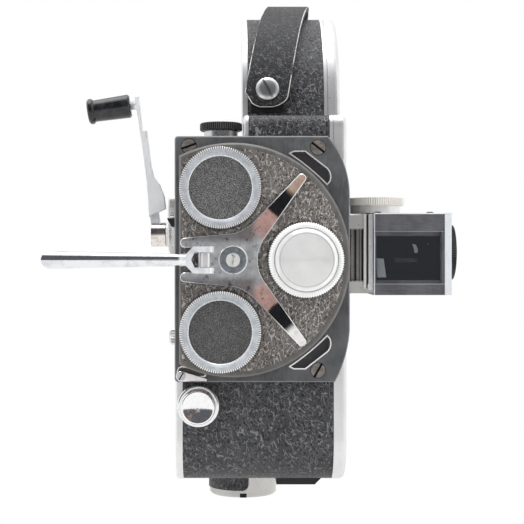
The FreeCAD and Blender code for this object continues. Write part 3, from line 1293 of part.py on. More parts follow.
def governor():
    """The governor's arbor with its pinion, weights and the worm wheel for the shutter."""
    _, _, centre = train()
    half_tooth = 180.0 / PINION_TEETH
    pinion = toothed(PINION_TEETH, WHEEL_X - 0.7, PINION_L, centre, TRAIN_DROP_ANGLE + 180 + half_tooth)
    weights = sideways(GOVERNOR_R, *centre, WHEEL_X + 5.0, WHEEL_X + 10.0)
    reach = TURRET_Z - centre[1] - WORM_R - SWEEP_GAP
    worm_wheel = sideways(reach, *centre, SHUTTER_AXIS_X - 1.0, SHUTTER_AXIS_X + 1.0)
    arbor = sideways(ARBOR_R, *centre, PLATE2_X, DIVIDER_X - SEAT_GAP)
    return pinion.fuse(weights).fuse(worm_wheel).fuse(arbor)


def shutter():
    """The sector shutter on its shaft, with the worm that drives it."""
    y = BODY_FRONT + SHUTTER_BACK
    sector = Part.makeCylinder(SHUTTER_R, SHUTTER_T, V(0, 0, 0), V(0, 0, 1), SHUTTER_ARC)
    sector.rotate(V(0, 0, 0), V(1, 0, 0), -90)
    sector.rotate(V(0, 0, 0), V(0, 1, 0), -100)
    sector.translate(V(SHUTTER_AXIS_X, y, TURRET_Z))
    along = V(0, 1, 0)
    hub = rod(5.0, V(SHUTTER_AXIS_X, y, TURRET_Z), along, 2.4)
    hub = hub.common(box(SPLIT_X, DIVIDER_X - 0.2, y, y + 3, TURRET_Z - 6, TURRET_Z + 6)).fuse(
        rod(2.4, V(SHUTTER_AXIS_X, y, TURRET_Z), along, 2.4))
    governor_y = train()[2][0]
    shaft = rod(ARBOR_R, V(SHUTTER_AXIS_X, y - 0.8, TURRET_Z), along, governor_y + 9 - y)
    worm = rod(WORM_R, V(SHUTTER_AXIS_X, governor_y - 6, TURRET_Z), along, 12.0)
    return sector.fuse(hub).fuse(shaft).fuse(worm)


def mechanism_plate():
    """The clockwork's back plate on four pillars, with the arbors' bearings."""
    x0, x1 = PLATE2_X, PLATE2_X + PLATE2_T
    plate = box(x0, x1, BODY_FRONT + 10, BODY_BACK - 8, BODY_BOTTOM + 16, COVER_TOP - 8)
    plate = plate.common(plug(cover_outline, WALL + 1.0, x0, x1))
    for y, z in PILLARS:
        plate = plate.fuse(sideways(PILLAR_R, y, z, PLATE2_X + PLATE2_T, DIVIDER_X))
    barrel, wheel, governor_at = train()
    holes = [(wheel, ARBOR_R), (governor_at, ARBOR_R), (barrel, CRANK_SHAFT_R),
             ((BODY_FRONT + COUNTER_Y, TURRET_Z - COUNTER_Z), ARBOR_R)]
    for centre, radius in holes:
        plate = plate.cut(sideways(radius + RUN_GAP, *centre, PLATE2_X - 1, PLATE2_X + PLATE2_T + 1))
    tube = upright(MAGNIFIER_TUBE_R + 0.5, COVER_TOP - MAGNIFIER_DEPTH - 1, MAGNIFIER_DEPTH)
    return plate.cut(tube)


def gate_plate():
    """The film gate with its frame opening and two guide pins."""
    y = BODY_FRONT + BULKHEAD
    gate = box(FILM_X - GATE_W / 2, FILM_X + GATE_W / 2, y, y + GATE_T, TURRET_Z - GATE_H / 2,
               TURRET_Z + GATE_H / 2)
    gate = gate.cut(box(FILM_X - FRAME_W / 2, FILM_X + FRAME_W / 2, y - 1, y + GATE_T + 1,
                        TURRET_Z - FRAME_H / 2, TURRET_Z + FRAME_H / 2))
    for z in (GUIDE_Z, -GUIDE_Z):
        length = GATE_T + PRESSER_GAP + PRESSER_T + PRESSER_TRAVEL + 1.0
        gate = gate.fuse(rod(1.0, V(FILM_X, y, TURRET_Z + z), V(0, 1, 0), length))
    return gate


def pressure_plate():
    """The sprung plate that holds the film flat, sliding on the gate's pins."""
    y = BODY_FRONT + BULKHEAD + GATE_T + PRESSER_GAP
    plate = box(FILM_X - GATE_W / 2 + 2, FILM_X + GATE_W / 2 - 2, y, y + PRESSER_T,
                TURRET_Z - GATE_H / 2 + 1, TURRET_Z + GATE_H / 2 - 1)
    for z in (GUIDE_Z, -GUIDE_Z):
        plate = plate.cut(rod(1.0 + RUN_GAP, V(FILM_X, y - 1, TURRET_Z + z), V(0, 1, 0), PRESSER_T + 2))
    return plate


def sprocket(rise):
    """A toothed film sprocket on its arbor through the divider."""
    y, z = BODY_FRONT + SPROCKET_Y, TURRET_Z + rise
    x0, x1 = FILM_X - 8.0, FILM_X + 8.0
    drum = sideways(SPROCKET_R, y, z, x0, x1).cut(
        sideways(SPROCKET_R + 1, y, z, x0 + 3, x1 - 3).cut(sideways(SPROCKET_R - 0.8, y, z, x0 + 3, x1 - 3)))
    for i in range(SPROCKET_TEETH):
        tooth = Part.makeBox(1.0, 1.2, 1.0, V(x0 + 1.0, -0.6, SPROCKET_R - 0.1))
        tooth.rotate(V(0, 0, 0), V(1, 0, 0), i * 360.0 / SPROCKET_TEETH)
        tooth.translate(V(0, y, z))
        drum = drum.fuse(tooth)
    return drum.fuse(sideways(ARBOR_R, y, z, DIVIDER_X - 0.9, x0))


def spool_centres():
    """The (y, z) centres of the feed spool in the arch and the take-up spool below."""
    margin = WALL + SPOOL_GAP + SPOOL_R
    return (ARCH_Y, ARCH_Z), (BODY_BACK - margin, BODY_BOTTOM + margin)


def spindle(centre):
    """A fixed spindle on the divider, with the shoulder that the spool runs on."""
    x0 = DIVIDER_X + DIVIDER_T
    x1 = FILM_X - SPOOL_W / 2 - SEAT_GAP
    pin = sideways(SPOOL_BORE_R - RUN_GAP, *centre, x0, FILM_X + SPOOL_W / 2 + SPINDLE_TIP)
    return pin.fuse(sideways(SPINDLE_FOOT_R, *centre, x0, x1))


def feed_spindle():
    """The upper spindle, whose foot reaches the deep wall of the arch."""
    centre = spool_centres()[0]
    return spindle(centre).fuse(sideways(SPINDLE_FOOT_R, *centre, SPLIT_X + WALL, DIVIDER_X + DIVIDER_T))


def spool(centre):
    """A daylight spool: two pierced flanges on a core."""
    x0, x1 = FILM_X - SPOOL_W / 2, FILM_X + SPOOL_W / 2
    body = sideways(SPOOL_CORE_R, *centre, x0, x1)
    for x in (x0, x1 - SPOOL_FLANGE_T):
        flange = sideways(SPOOL_R, *centre, x, x + SPOOL_FLANGE_T)
        for turn in (90, 210, 330):
            hole = corner(*centre, (SPOOL_R + SPOOL_CORE_R) / 2, turn)
            flange = flange.cut(sideways(SPOOL_HOLE_R, *hole, x - 1, x + SPOOL_FLANGE_T + 1))
        body = body.fuse(flange)
    return body.cut(sideways(SPOOL_BORE_R, *centre, x0 - 1, x1 + 1))


def film_door():
    """The lift-off film door: a shallow pan with a bare rounded rim and a leather recess."""
    door = plug(chamber_outline, 0, DOOR_X + DOOR_GAP, BODY_RIGHT)
    door = filleted(door, DOOR_EDGE_R, lies_at("X", BODY_RIGHT))
    inner = BODY_RIGHT - WALL
    door = door.cut(plug(chamber_outline, WALL + 0.8, DOOR_X, inner))
    door = door.cut(plug(chamber_outline, DOOR_RIM, BODY_RIGHT - DOOR_LEATHER_T, BODY_RIGHT))
    y, z = BODY_FRONT + LOCK_KNOB_Y, TURRET_Z - LOCK_KNOB_Z
    return door.cut(sideways(LOCK_SHAFT_R + RUN_GAP, y, z, inner - 1, BODY_RIGHT + 1))


def door_leather():
    """The leather panel on the door's side."""
    panel = plug(chamber_outline, DOOR_RIM + 0.1, BODY_RIGHT - DOOR_LEATHER_T, BODY_RIGHT - LEATHER_SINK)
    y, z = BODY_FRONT + LOCK_KNOB_Y, TURRET_Z - LOCK_KNOB_Z
    panel = panel.cut(sideways(LOCK_KNOB_R + 0.5, y, z, DOOR_X, BODY_RIGHT + 1))
    base = bracket_base(0.1)
    return panel.cut(base)


def door_lock():
    """The door's turning lock: a winged knob outside, a shaft and a latch bar inside."""
    y, z = BODY_FRONT + LOCK_KNOB_Y, TURRET_Z - LOCK_KNOB_Z
    seat, face = BODY_RIGHT - DOOR_LEATHER_T + SEAT_GAP, BODY_RIGHT + LOCK_KNOB_H
    knob = sideways(LOCK_KNOB_R, y, z, seat, face)
    knob = chamfered(knob, 0.6, lies_at("X", face))
    reach, half = LOCK_KNOB_R - 1.0, LOCK_WING_T / 2
    wing = box(BODY_RIGHT, face + LOCK_WING_H, y - half, y + half, z - reach, z + reach)
    inner = BODY_RIGHT - WALL - SEAT_GAP
    shaft = sideways(LOCK_SHAFT_R, y, z, inner - LOCK_BAR_T, seat)
    bar = box(inner - LOCK_BAR_T, inner, y - LOCK_BAR_W / 2, y + LOCK_BAR_W / 2, z - LOCK_BAR_L / 2,
              z + LOCK_BAR_L / 2)
    return knob.fuse(wing).fuse(shaft).fuse(bar).removeSplitter()


def bracket_base(grow):
    """The bracket's foot on the door, grown by a clearance."""
    y0, y1 = BRACKET_Y0 + 6 - grow, BRACKET_Y0 + BRACKET_L + grow
    return box(BODY_RIGHT - DOOR_LEATHER_T, BODY_RIGHT + LUG_T, y0, y1,
               TURRET_Z - RAIL_Z2 - grow, TURRET_Z + RAIL_Z1 + grow)


def finder_bracket():
    """The bracket between door and finder: a foot, a web with two rails, two ribs and the rack bar."""
    x0, x1 = BODY_RIGHT + LUG_T - 0.5, FINDER_LEFT
    y0, y1 = BRACKET_Y0, BRACKET_Y0 + BRACKET_L - 8
    low, high = TURRET_Z - RAIL_Z2, TURRET_Z + RAIL_Z1
    web = box(x0, x1, y0 + WEB_BACK, y0 + WEB_BACK + LUG_T, low, high)
    crest = outline((x0, high - RAIL_H1), [(x1, high - RAIL_H1), (x1, FINDER_HIGH - SWEEP_GAP),
                    (x0 + 3.0, high), (x0, high)], at_y(y0))
    bracket = bracket_base(0).fuse(web).fuse(slab(crest, V(0, y1 - y0, 0)))
    bracket = bracket.fuse(box(x0, x1, y0, y1, low, low + RAIL_H2))
    for left, right, front in BRACKET_RIBS:
        bracket = bracket.fuse(box(BODY_RIGHT + left, BODY_RIGHT + right, y0 + front, y0 + WEB_BACK,
                                   low + RAIL_H2, high - RAIL_H1))
    rack_x = BODY_RIGHT + (BRACKET_RIBS[-1][0] + BRACKET_RIBS[-1][1]) / 2
    for i in range(RACK_HOLES):
        z = low + RAIL_H2 + RACK_STEP * (i + 0.7)
        bracket = bracket.cut(rod(RACK_HOLE_R, V(rack_x, y0, z), V(0, 1, 0), BRACKET_RIBS[-1][2] + 0.9))
    return bracket.removeSplitter()


def rect_wire(x0, x1, z0, z1, y):
    """A rectangle in the plane of one y."""
    return outline((x0, z0), [(x1, z0), (x1, z1), (x0, z1)], at_y(y))


def window_edges():
    """The finder window's left, right, bottom and top."""
    left, top = FINDER_LEFT + WINDOW_IN, FINDER_HIGH - WINDOW_DROP
    return left, left + WINDOW_W, top - WINDOW_H, top


def window_box(wide, high, y0, y1):
    """A box as large as the window, grown sideways and upwards."""
    w0, w1, w2, w3 = window_edges()
    return box(w0 - wide, w1 + wide, y0, y1, w2 - high, w3 + high)


def finder_body():
    """The finder's housing, hollow from the window to the eyepiece."""
    x0, x1 = FINDER_LEFT + TRIM_LEFT, FINDER_RIGHT - TRIM_RIGHT
    y1, y2 = FINDER_Y + FINDER_BOX_L, FINDER_Y + FINDER_L
    front = box(x0, x1, FINDER_Y, y1, FINDER_LOW, FINDER_HIGH)
    mx, mz = (x0 + x1) / 2, TURRET_Z + 1.0
    taper = Part.makeLoft([rect_wire(x0, x1, FINDER_LOW, FINDER_HIGH, y1),
                           rect_wire(mx - 12, mx + 12, mz - 12, mz + 12, y2)], True, True)
    eye = rod(EYE_R, V(mx, y2 - 1, mz), V(0, 1, 0), EYE_L + 1)
    body = front.fuse(taper).fuse(eye).removeSplitter()
    w0, w1, w2, w3 = window_edges()
    slope = Part.makeLoft([rect_wire(w0 - 0.3, w1 + 0.3, w2 - 1.6, w3 + 2.2, FINDER_Y),
                           rect_wire(w0, w1, w2, w3, FINDER_Y + GLASS_SINK)], True, True)
    seat = window_box(0.4, 1.0, FINDER_Y + GLASS_SINK, FINDER_Y + GLASS_SINK + GLASS_T)
    tunnel = Part.makeLoft([rect_wire(w0, w1, w2, w3, FINDER_Y + GLASS_SINK + GLASS_T - 0.2),
                            rect_wire(mx - 9, mx + 9, mz - 7, mz + 7, y2 - 6)], True, True)
    bore = rod(EYE_BORE_R, V(mx, y2 - 8, mz), V(0, 1, 0), EYE_L + 10)
    return body.cut(slope).cut(seat).cut(tunnel).cut(bore)


def finder_glass():
    """The front glass in its seat and the eye lens at the back."""
    mx = (FINDER_LEFT + TRIM_LEFT + FINDER_RIGHT - TRIM_RIGHT) / 2
    y = FINDER_Y + GLASS_SINK
    lens = rod(EYE_BORE_R, V(mx, FINDER_Y + FINDER_L + EYE_L - 4, TURRET_Z + 1.0), V(0, 1, 0), LENS_T)
    return [window_box(0.4, 1.0, y, y + GLASS_T), lens]


def finder_trims():
    """The bright side plates of the finder's front."""
    y0, y1 = FINDER_Y - TRIM_PROUD, FINDER_Y + FINDER_BOX_L - 2
    left = box(FINDER_LEFT, FINDER_LEFT + TRIM_LEFT, y0, y1, FINDER_LOW, FINDER_HIGH)
    right = box(FINDER_RIGHT - TRIM_RIGHT, FINDER_RIGHT, y0, y1, FINDER_LOW, FINDER_HIGH)
    bore = sideways(ARBOR_R + RUN_GAP, *finder_knob_place(), FINDER_RIGHT - TRIM_RIGHT, FINDER_RIGHT)
    return [left, right.cut(bore)]


def finder_knob_place():
    """The (y, z) centre of the knob on the finder's right side."""
    return FINDER_Y + FINDER_KNOB_Y, TURRET_Z + 3.3


def finder_knob():
    """The flat correction knob on the finder's right side."""
    y, z = finder_knob_place()
    place = lambda p: V(FINDER_RIGHT + SEAT_GAP, y + p[0], z + p[1])
    knob = knurled(FINDER_KNOB_R, 80, KNURL_DEPTH, FINDER_KNOB_H, place, V(1, 0, 0))
    return knob.fuse(sideways(ARBOR_R, y, z, FINDER_RIGHT - TRIM_RIGHT + SEAT_GAP, FINDER_RIGHT + SEAT_GAP))


def finder_dial():
    """The distance dial standing on the finder: a drum under a knurled ring."""
    x, y = TURRET_X + FINDER_DIAL_X, BODY_FRONT + FINDER_DIAL_Y
    low = FINDER_HIGH + SEAT_GAP
    drum = rod(FINDER_DRUM_R, V(x, y, low), V(0, 0, 1), FINDER_DRUM_H)
    place = lambda p: V(x + p[0], y + p[1], low + FINDER_DRUM_H)
    return drum.fuse(knurled(FINDER_DIAL_R, 80, KNURL_DEPTH, FINDER_DIAL_H, place, V(0, 0, 1)))


def strap_gap(angle):
    """The strap's distance from the arch at an angle round it, in degrees from the front."""
    seat = STRAP_LUG_T + SEAT_GAP
    share = (angle - STRAP_START) / (STRAP_END - STRAP_START)
    if share <= 0 or share >= 1:
        return seat
    return seat + STRAP_SLACK * math.sin(math.pi * share ** STRAP_LEAN_BACK)


def strap_x(angle):
    """The strap's middle at an angle: it leans steadily to the right, then runs straight back."""
    share = angle / 90.0
    if share > 1.0 + STRAP_EASE:
        share = 1.0
    elif share > 1.0 - STRAP_EASE:
        share = 1.0 - (1.0 + STRAP_EASE - share) ** 2 / (4 * STRAP_EASE)
    return TURRET_X + STRAP_X0 + (STRAP_X1 - STRAP_X0) * share


def around_arch(radius, angle):
    """The (y, z) place at a radius and an angle round the arch, in degrees from the front."""
    return corner(ARCH_Y, ARCH_Z, radius, 180 - angle)


def strap_offcut(angle, side):
    """What is cut from a strap end to leave its tongue; side is -1 in front and 1 behind."""
    x, low = strap_x(angle), around_arch(ARCH_R, STRAP_TIP)[1]
    far = STRAP_W
    rim = [(x + dx, low + dz) for dx, dz in TONGUE]
    steps = rim[1:3] + [(rim[3], rim[4]), (rim[5], rim[6]), rim[7]]
    steps += [(x + far, low + far), (x + far, low - far), (x - far, low - far)]
    y = ARCH_Y + side * ARCH_R / 2
    return slab(outline((x - far, low + far), rim[:1] + steps, at_y(y)), V(0, side * ARCH_R, 0))


def handle_strap():
    """The carrying strap over the arch, screwed down at both ends."""
    wires = []
    for i in range(STRAP_STEPS + 1):
        angle = STRAP_TIP + i * (180.0 - 2 * STRAP_TIP) / STRAP_STEPS
        low = ARCH_R + strap_gap(angle)
        (y0, z0), (y1, z1) = around_arch(low, angle), around_arch(low + STRAP_T, angle)
        x0, x1 = strap_x(angle) - STRAP_W / 2, strap_x(angle) + STRAP_W / 2
        corners = [V(x0, y0, z0), V(x1, y0, z0), V(x1, y1, z1), V(x0, y1, z1)]
        wires.append(Part.makePolygon(corners + corners[:1]))
    strap = Part.makeLoft(wires, True, True)
    for angle, side in zip(STRAP_SCREWS, (-1, 1)):
        strap = strap.cut(strap_offcut(angle, side))
        strap = strap.cut(strap_rod(STRAP_SHANK_R, angle, ARCH_R, STRAP_HOLE_L))
    return strap


def strap_rod(radius, angle, start, length):
    """A cylinder through the strap, pointing away from the arch's middle."""
    y, z = around_arch(start, angle)
    out = V(0, y - ARCH_Y, z - ARCH_Z).normalize()
    return rod(radius, V(strap_x(angle), y, z), out, length)


def strap_screws():
    """The two domed slotted screws that hold the strap's ends."""
    screws = []
    for angle in STRAP_SCREWS:
        top = ARCH_R + strap_gap(angle) + STRAP_T + SEAT_GAP
        y, z = around_arch(top, angle)
        out = V(0, y - ARCH_Y, z - ARCH_Z).normalize()
        centre = V(strap_x(angle), y, z)
        head = slotted_head(STRAP_SCREW_R, STRAP_SCREW_H, centre, out, STRAP_SLOT_TURN, STRAP_SLOT_W,
                            STRAP_SLOT_W)
        dome = Part.makeSphere(2 * STRAP_SCREW_R)
        dome.translate(centre + out * (STRAP_SCREW_H - 2 * STRAP_SCREW_R))
        shank = strap_rod(STRAP_SHANK_R, angle, ARCH_R - WALL, top - ARCH_R + WALL)
        screws.append(head.common(dome).fuse(shank))
    return screws


def strap_lugs():
    """The dark metal plates under the strap's ends."""
    lugs = []
    for angle, side in zip(STRAP_SCREWS, (-1, 1)):
        x = strap_x(angle)
        ring = sideways(ARCH_R + STRAP_LUG_T, ARCH_Y, ARCH_Z, x - STRAP_LUG_W / 2, x + STRAP_LUG_W / 2)
        ring = ring.cut(sideways(ARCH_R, ARCH_Y, ARCH_Z, x - STRAP_W, x + STRAP_W))
        low, high = ARCH_Z + STRAP_LUG_Z, ARCH_Z + STRAP_LUG_Z + 2 * STRAP_LUG_H
        half = box(x - STRAP_W, x + STRAP_W, ARCH_Y, ARCH_Y + 2 * ARCH_R, low, high)
        if side < 0:
            half = box(x - STRAP_W, x + STRAP_W, ARCH_Y - 2 * ARCH_R, ARCH_Y, low, high)
        lugs.append(ring.common(half).cut(strap_rod(STRAP_SHANK_R, angle, ARCH_R - 1, STRAP_HOLE_L)))
    return lugs


save(film_chamber(), "film_chamber")
save(mechanism_cover(), "mechanism_cover")
save(body_leather(), "body_leather")
save(base_boss(), "base_boss")
save(foot_bar(), "foot_bar")
save(front_plate(), "front_plate")
save(crescent_trims(), "crescent_trims")
save(front_screws(), "front_screws")
save(lock_lever(), "lock_lever")
save(turret_disc(), "turret_disc")
save(turret_covering(), "turret_covering")
save(turret_pivot(), "turret_pivot")
save(side_cap_ring(1), "cap_ring_upper")
save(side_cap_disc(1), "cap_disc_upper")
save(side_cap_ring(2), "cap_ring_lower")
save(side_cap_disc(2), "cap_disc_lower")
save(front_cap(), "front_cap")
save(turret_spider(), "turret_spider")
save(lever_pin(), "lever_pin")
save(turret_lever(), "turret_lever")
save(release_collar(), "release_collar")
save(release_button(), "release_button")
save(release_spring(), "release_spring")
save(magnifier_neck(), "magnifier_neck")
save(magnifier_lens(), "magnifier_lens")
save(magnifier_ring(), "magnifier_ring")
save(crank_bearing(), "crank_bearing")
save(crank_hub(), "crank_hub")
save(crank_arm(), "crank_arm")
save(crank_grip(), "crank_grip")
save(speed_dial(), "speed_dial")
save(side_knob(), "side_knob")
save(side_lever(), "side_lever")
save(counter_glass(), "counter_glass")
save(counter_disc(), "counter_disc")
save(mainspring_barrel(), "mainspring_barrel")
save(mainspring(), "mainspring")
save(intermediate_wheel(), "intermediate_wheel")
save(governor(), "governor")
save(shutter(), "shutter")
save(mechanism_plate(), "mechanism_plate")
save(gate_plate(), "gate_plate")
save(pressure_plate(), "pressure_plate")
save(sprocket(SPROCKET_UP), "sprocket_upper")
save(sprocket(-SPROCKET_DOWN), "sprocket_lower")
save([feed_spindle(), spindle(spool_centres()[1])], "spool_spindles")
save(spool(spool_centres()[0]), "feed_spool")
save(spool(spool_centres()[1]), "takeup_spool")
save(film_door(), "film_door")
save(door_leather(), "door_leather")
save(door_lock(), "door_lock")
save(finder_bracket(), "finder_bracket")
save(finder_body(), "finder_body")
save(finder_glass(), "finder_glass")
save(finder_trims(), "finder_trims")
save(finder_knob(), "finder_knob")
save(finder_dial(), "finder_dial")
save(handle_strap(), "handle_strap")
save(strap_screws(), "strap_screws")
save(strap_lugs(), "strap_lugs")
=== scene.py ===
"""The looks of a spring-wound turret movie camera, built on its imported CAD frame."""

import math

import bmesh
import bpy
from mathutils import Matrix, Vector


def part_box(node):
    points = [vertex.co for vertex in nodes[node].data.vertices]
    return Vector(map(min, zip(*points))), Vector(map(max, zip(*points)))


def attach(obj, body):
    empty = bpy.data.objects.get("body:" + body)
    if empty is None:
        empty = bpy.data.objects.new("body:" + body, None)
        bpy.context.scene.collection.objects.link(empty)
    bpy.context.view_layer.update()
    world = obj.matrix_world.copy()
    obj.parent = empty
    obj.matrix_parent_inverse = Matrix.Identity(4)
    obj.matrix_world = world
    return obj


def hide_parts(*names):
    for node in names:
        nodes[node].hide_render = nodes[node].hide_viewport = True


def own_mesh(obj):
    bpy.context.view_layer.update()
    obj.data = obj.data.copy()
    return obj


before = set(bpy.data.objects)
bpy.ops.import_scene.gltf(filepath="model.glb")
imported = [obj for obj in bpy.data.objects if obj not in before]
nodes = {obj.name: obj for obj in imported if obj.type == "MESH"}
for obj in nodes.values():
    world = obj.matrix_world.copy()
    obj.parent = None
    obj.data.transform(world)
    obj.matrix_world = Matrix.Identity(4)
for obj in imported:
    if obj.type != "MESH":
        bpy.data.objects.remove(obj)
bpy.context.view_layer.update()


class Wire:
    """A value in a material's node tree. Operators on it add the nodes that work it out."""

    def __init__(self, tree, socket=None):
        self.tree = tree
        self.socket = socket

    def node(self, kind, settings=None, inputs=None, output=0):
        """Adds any node: its settings first, then the values or links of its sockets."""
        made = self.tree.nodes.new(kind)
        for name, value in (settings or {}).items():
            setattr(made, name, value)
        for name, value in (inputs or {}).items():
            if isinstance(value, Wire):
                self.tree.links.new(value.socket, made.inputs[name])
            else:
                made.inputs[name].default_value = value
        return Wire(self.tree, made.outputs[output] if made.outputs else None)

    def is_vector(self):
        return self.socket.type in ("VECTOR", "RGBA")

    def work(self, operation, first, second=None):
        """One Math node, or a Vector Math node where a side is a vector or a colour."""
        sides = [first] if second is None else [first, second]
        wide = any(side.is_vector() if isinstance(side, Wire) else isinstance(side, tuple) for side in sides)
        if wide:
            sides = [(side,) * 3 if isinstance(side, (int, float)) else side for side in sides]
        kind = "ShaderNodeVectorMath" if wide else "ShaderNodeMath"
        return self.node(kind, {"operation": operation}, dict(enumerate(sides)))

    def __add__(self, other):
        return self.work("ADD", self, other)

    def __radd__(self, other):
        return self.work("ADD", other, self)

    def __sub__(self, other):
        return self.work("SUBTRACT", self, other)

    def __rsub__(self, other):
        return self.work("SUBTRACT", other, self)

    def __mul__(self, other):
        return self.work("MULTIPLY", self, other)

    def __rmul__(self, other):
        return self.work("MULTIPLY", other, self)

    def __truediv__(self, other):
        return self.work("DIVIDE", self, other)

    def __rtruediv__(self, other):
        return self.work("DIVIDE", other, self)

    def __neg__(self):
        return self.work("MULTIPLY", self, -1.0)

    def put(self, operation, other=None):
        """The same as a method, for the operations that have no sign in Python."""
        return self.work(operation, self, other)

    def above(self, low, high, start=0.0, end=1.0):
        """Runs smoothly from start at low to end at high."""
        settings = {"interpolation_type": "SMOOTHSTEP"}
        values = {"Value": self, "From Min": low, "From Max": high, "To Min": start, "To Max": end}
        return self.node("ShaderNodeMapRange", settings, values)

    def below(self, low, high, start=1.0):
        """Runs smoothly from start at low to 0 at high."""
        return self.above(low, high, start, 0.0)

    def line(self, at, strength, fade=0.0002):
        """A thin line where this value passes a number: strength on it, 0 beside it."""
        return (self - at).put("ABSOLUTE").below(0.0001, fade, strength)

    def mix(self, first, second):
        """The first colour where this value is 0, the second where it is 1."""
        return self.node("ShaderNodeMix", {"data_type": "RGBA"}, {0: self, 6: first, 7: second}, 2)

    def noise(self, scale, detail=2.0, roughness=0.5):
        """A cloudy pattern at this place, from 0 to 1."""
        values = {"Vector": self, "Scale": scale, "Detail": detail, "Roughness": roughness}
        return self.node("ShaderNodeTexNoise", None, values)

    def cells(self, scale, feature="F1"):
        """The distance to the nearest cell's middle or edge at this place."""
        return self.node("ShaderNodeTexVoronoi", {"feature": feature}, {"Vector": self, "Scale": scale})

    def bump(self, strength, distance):
        """A normal tilted by this height; distance is in metres."""
        return self.node("ShaderNodeBump", None, {"Strength": strength, "Distance": distance, "Height": self})

    def parts(self):
        """A vector's three numbers."""
        return [self.node("ShaderNodeSeparateXYZ", None, {0: self}, i) for i in range(3)]


def rgb(red, green, blue):
    """A colour given as it shows on the screen, 0 to 255, as the linear one that shaders take."""
    shares = (red / 255, green / 255, blue / 255)
    return tuple(v / 12.92 if v < 0.04045 else ((v + 0.055) / 1.055) ** 2.4 for v in shares) + (1.0,)


def basis(material):
    """A material's shader and the place on the piece in metres."""
    place = Wire(material.node_tree).node("ShaderNodeTexCoord", output="Object")
    return material.node_tree.nodes["Principled BSDF"], place


def surface(name, **constants):
    """A new material: returns it, its shader and the place on the piece in metres."""
    made = bpy.data.materials.new(name)
    made.use_nodes = True
    shader, place = basis(made)
    for socket, value in constants.items():
        shader.inputs[socket.replace("_", " ")].default_value = value
    return made, shader, place


def drive(shader, **wires):
    """Links worked-out values to the shader's sockets."""
    for socket, wire in wires.items():
        wire.tree.links.new(wire.socket, shader.inputs[socket.replace("_", " ")])


def wear(material, *names):
    """Gives CAD nodes a material of their own."""
    for name in names:
        mesh = nodes[name].data
        mesh.materials.clear()
        mesh.materials.append(material)


# The castings: film chamber, mechanism cover and door are sand-cast aluminium, machined on the rims
# that stay bare beside the leather. The bare metal has a fine satin grain with a few rubbed places.
CAST_LIGHT = rgb(244, 244, 243)
CAST_DULL = rgb(222, 222, 222)


def cast_metal(name, light, painted_dark_reflection, roughness, metallic=1.0):
    """Satin metal with a fine grain, soft clouds and rubbed spots."""
    made, shader, place = surface(name, Metallic=metallic)
    clouds = place.noise(90.0, 4.0)
    grain = place.noise(5200.0, 3.0, 0.65)
    rubbed_and_lit = place.noise(420.0, 5.0, 0.7).above(0.56, 0.72)
    drive(shader, Base_Color=(clouds * 0.35 + grain * 0.65).above(0.3, 0.7).mix(painted_dark_reflection, light),
          Roughness=roughness + grain * 0.14 - rubbed_and_lit * 0.1,
          Normal=(grain + rubbed_and_lit * 0.3).bump(0.35, 0.00003))
    return made


wear(cast_metal("bare_casting", CAST_LIGHT, CAST_DULL, 0.28, 0.75), "film_chamber", "mechanism_cover", "film_door")

# The leather covering is glued into shallow recesses of the castings. Its pressed grain is of small
# pebbles between deep folds. The folds' crests are painted pale as a highlight, and its pits painted dark as shade.
LEATHER_DARK = rgb(46, 46, 48)
LEATHER_MID = rgb(78, 78, 81)
LEATHER_CREST_HIGHLIGHT = rgb(150, 150, 152)
LEATHER_PIT_SHADE = rgb(26, 26, 27)


def folds(place, scale, lean, length, width, wave):
    """Creases between cells drawn out upwards, leaning by a share; 1 on a crease and 0 beside it."""
    x, y, z = place.parts()
    values = {"X": x + z * lean, "Y": y + z * lean, "Z": z * length}
    stretched = place.node("ShaderNodeCombineXYZ", None, values)
    bent = stretched + lean + (place.noise(scale * 1.6, 1.0) - 0.5) * (wave / scale)
    return bent.cells(scale, "DISTANCE_TO_EDGE").below(width * 0.2, width)


def leather(name, dark, mid, crest_highlight, scale, roughness=0.42, depth=0.0003):
    """Grained leather: pebbles with pits of painted shade, under two sets of broken folds with a painted highlight on
    their crests.
    """
    made, shader, place = surface(name)
    patches = place.noise(scale * 0.5, 2.0)
    upright = folds(place, scale, 0.12, 0.3, 0.1, 0.12) * patches.above(0.5, 0.55)
    leaning = folds(place, scale, 0.8, 0.26, 0.1, 0.12) * patches.below(0.46, 0.52)
    broken = place.noise(scale * 0.9, 1.0).above(0.42, 0.52)
    # pale marks the folds' crests, painted as a highlight; pit is painted shade in the hollows.
    pale = upright.put("MAXIMUM", leaning) * broken
    grit = place.noise(scale * 5.0, 2.0, 0.6)
    pit = place.noise(scale * 1.9, 1.0, 0.5).below(0.38, 0.45)
    clouds = place.noise(60.0, 3.0)
    tone = pit.mix((clouds * 0.35 + grit * 0.65).above(0.34, 0.64).mix(dark, mid), LEATHER_PIT_SHADE)
    drive(shader, Base_Color=(pale * (grit * 0.8 + 0.3)).mix(tone, crest_highlight), Roughness=roughness + grit * 0.14,
          Normal=(pale * 0.8 + grit * 0.3 - pit * 0.8).bump(1.0, depth))
    return made


body_skin = leather("body_skin", LEATHER_DARK, LEATHER_MID, LEATHER_CREST_HIGHLIGHT, 620.0)
wear(body_skin, "body_leather", "door_leather")

# The base: a turned aluminium boss with the tripod socket, a patch of leather round its front left,
# and a black foot bar screwed on beside it. A black block in the small notch of the boss is painted shade.
wear(cast_metal("boss_metal", rgb(212, 211, 207), rgb(170, 169, 166), 0.2), "base_boss")


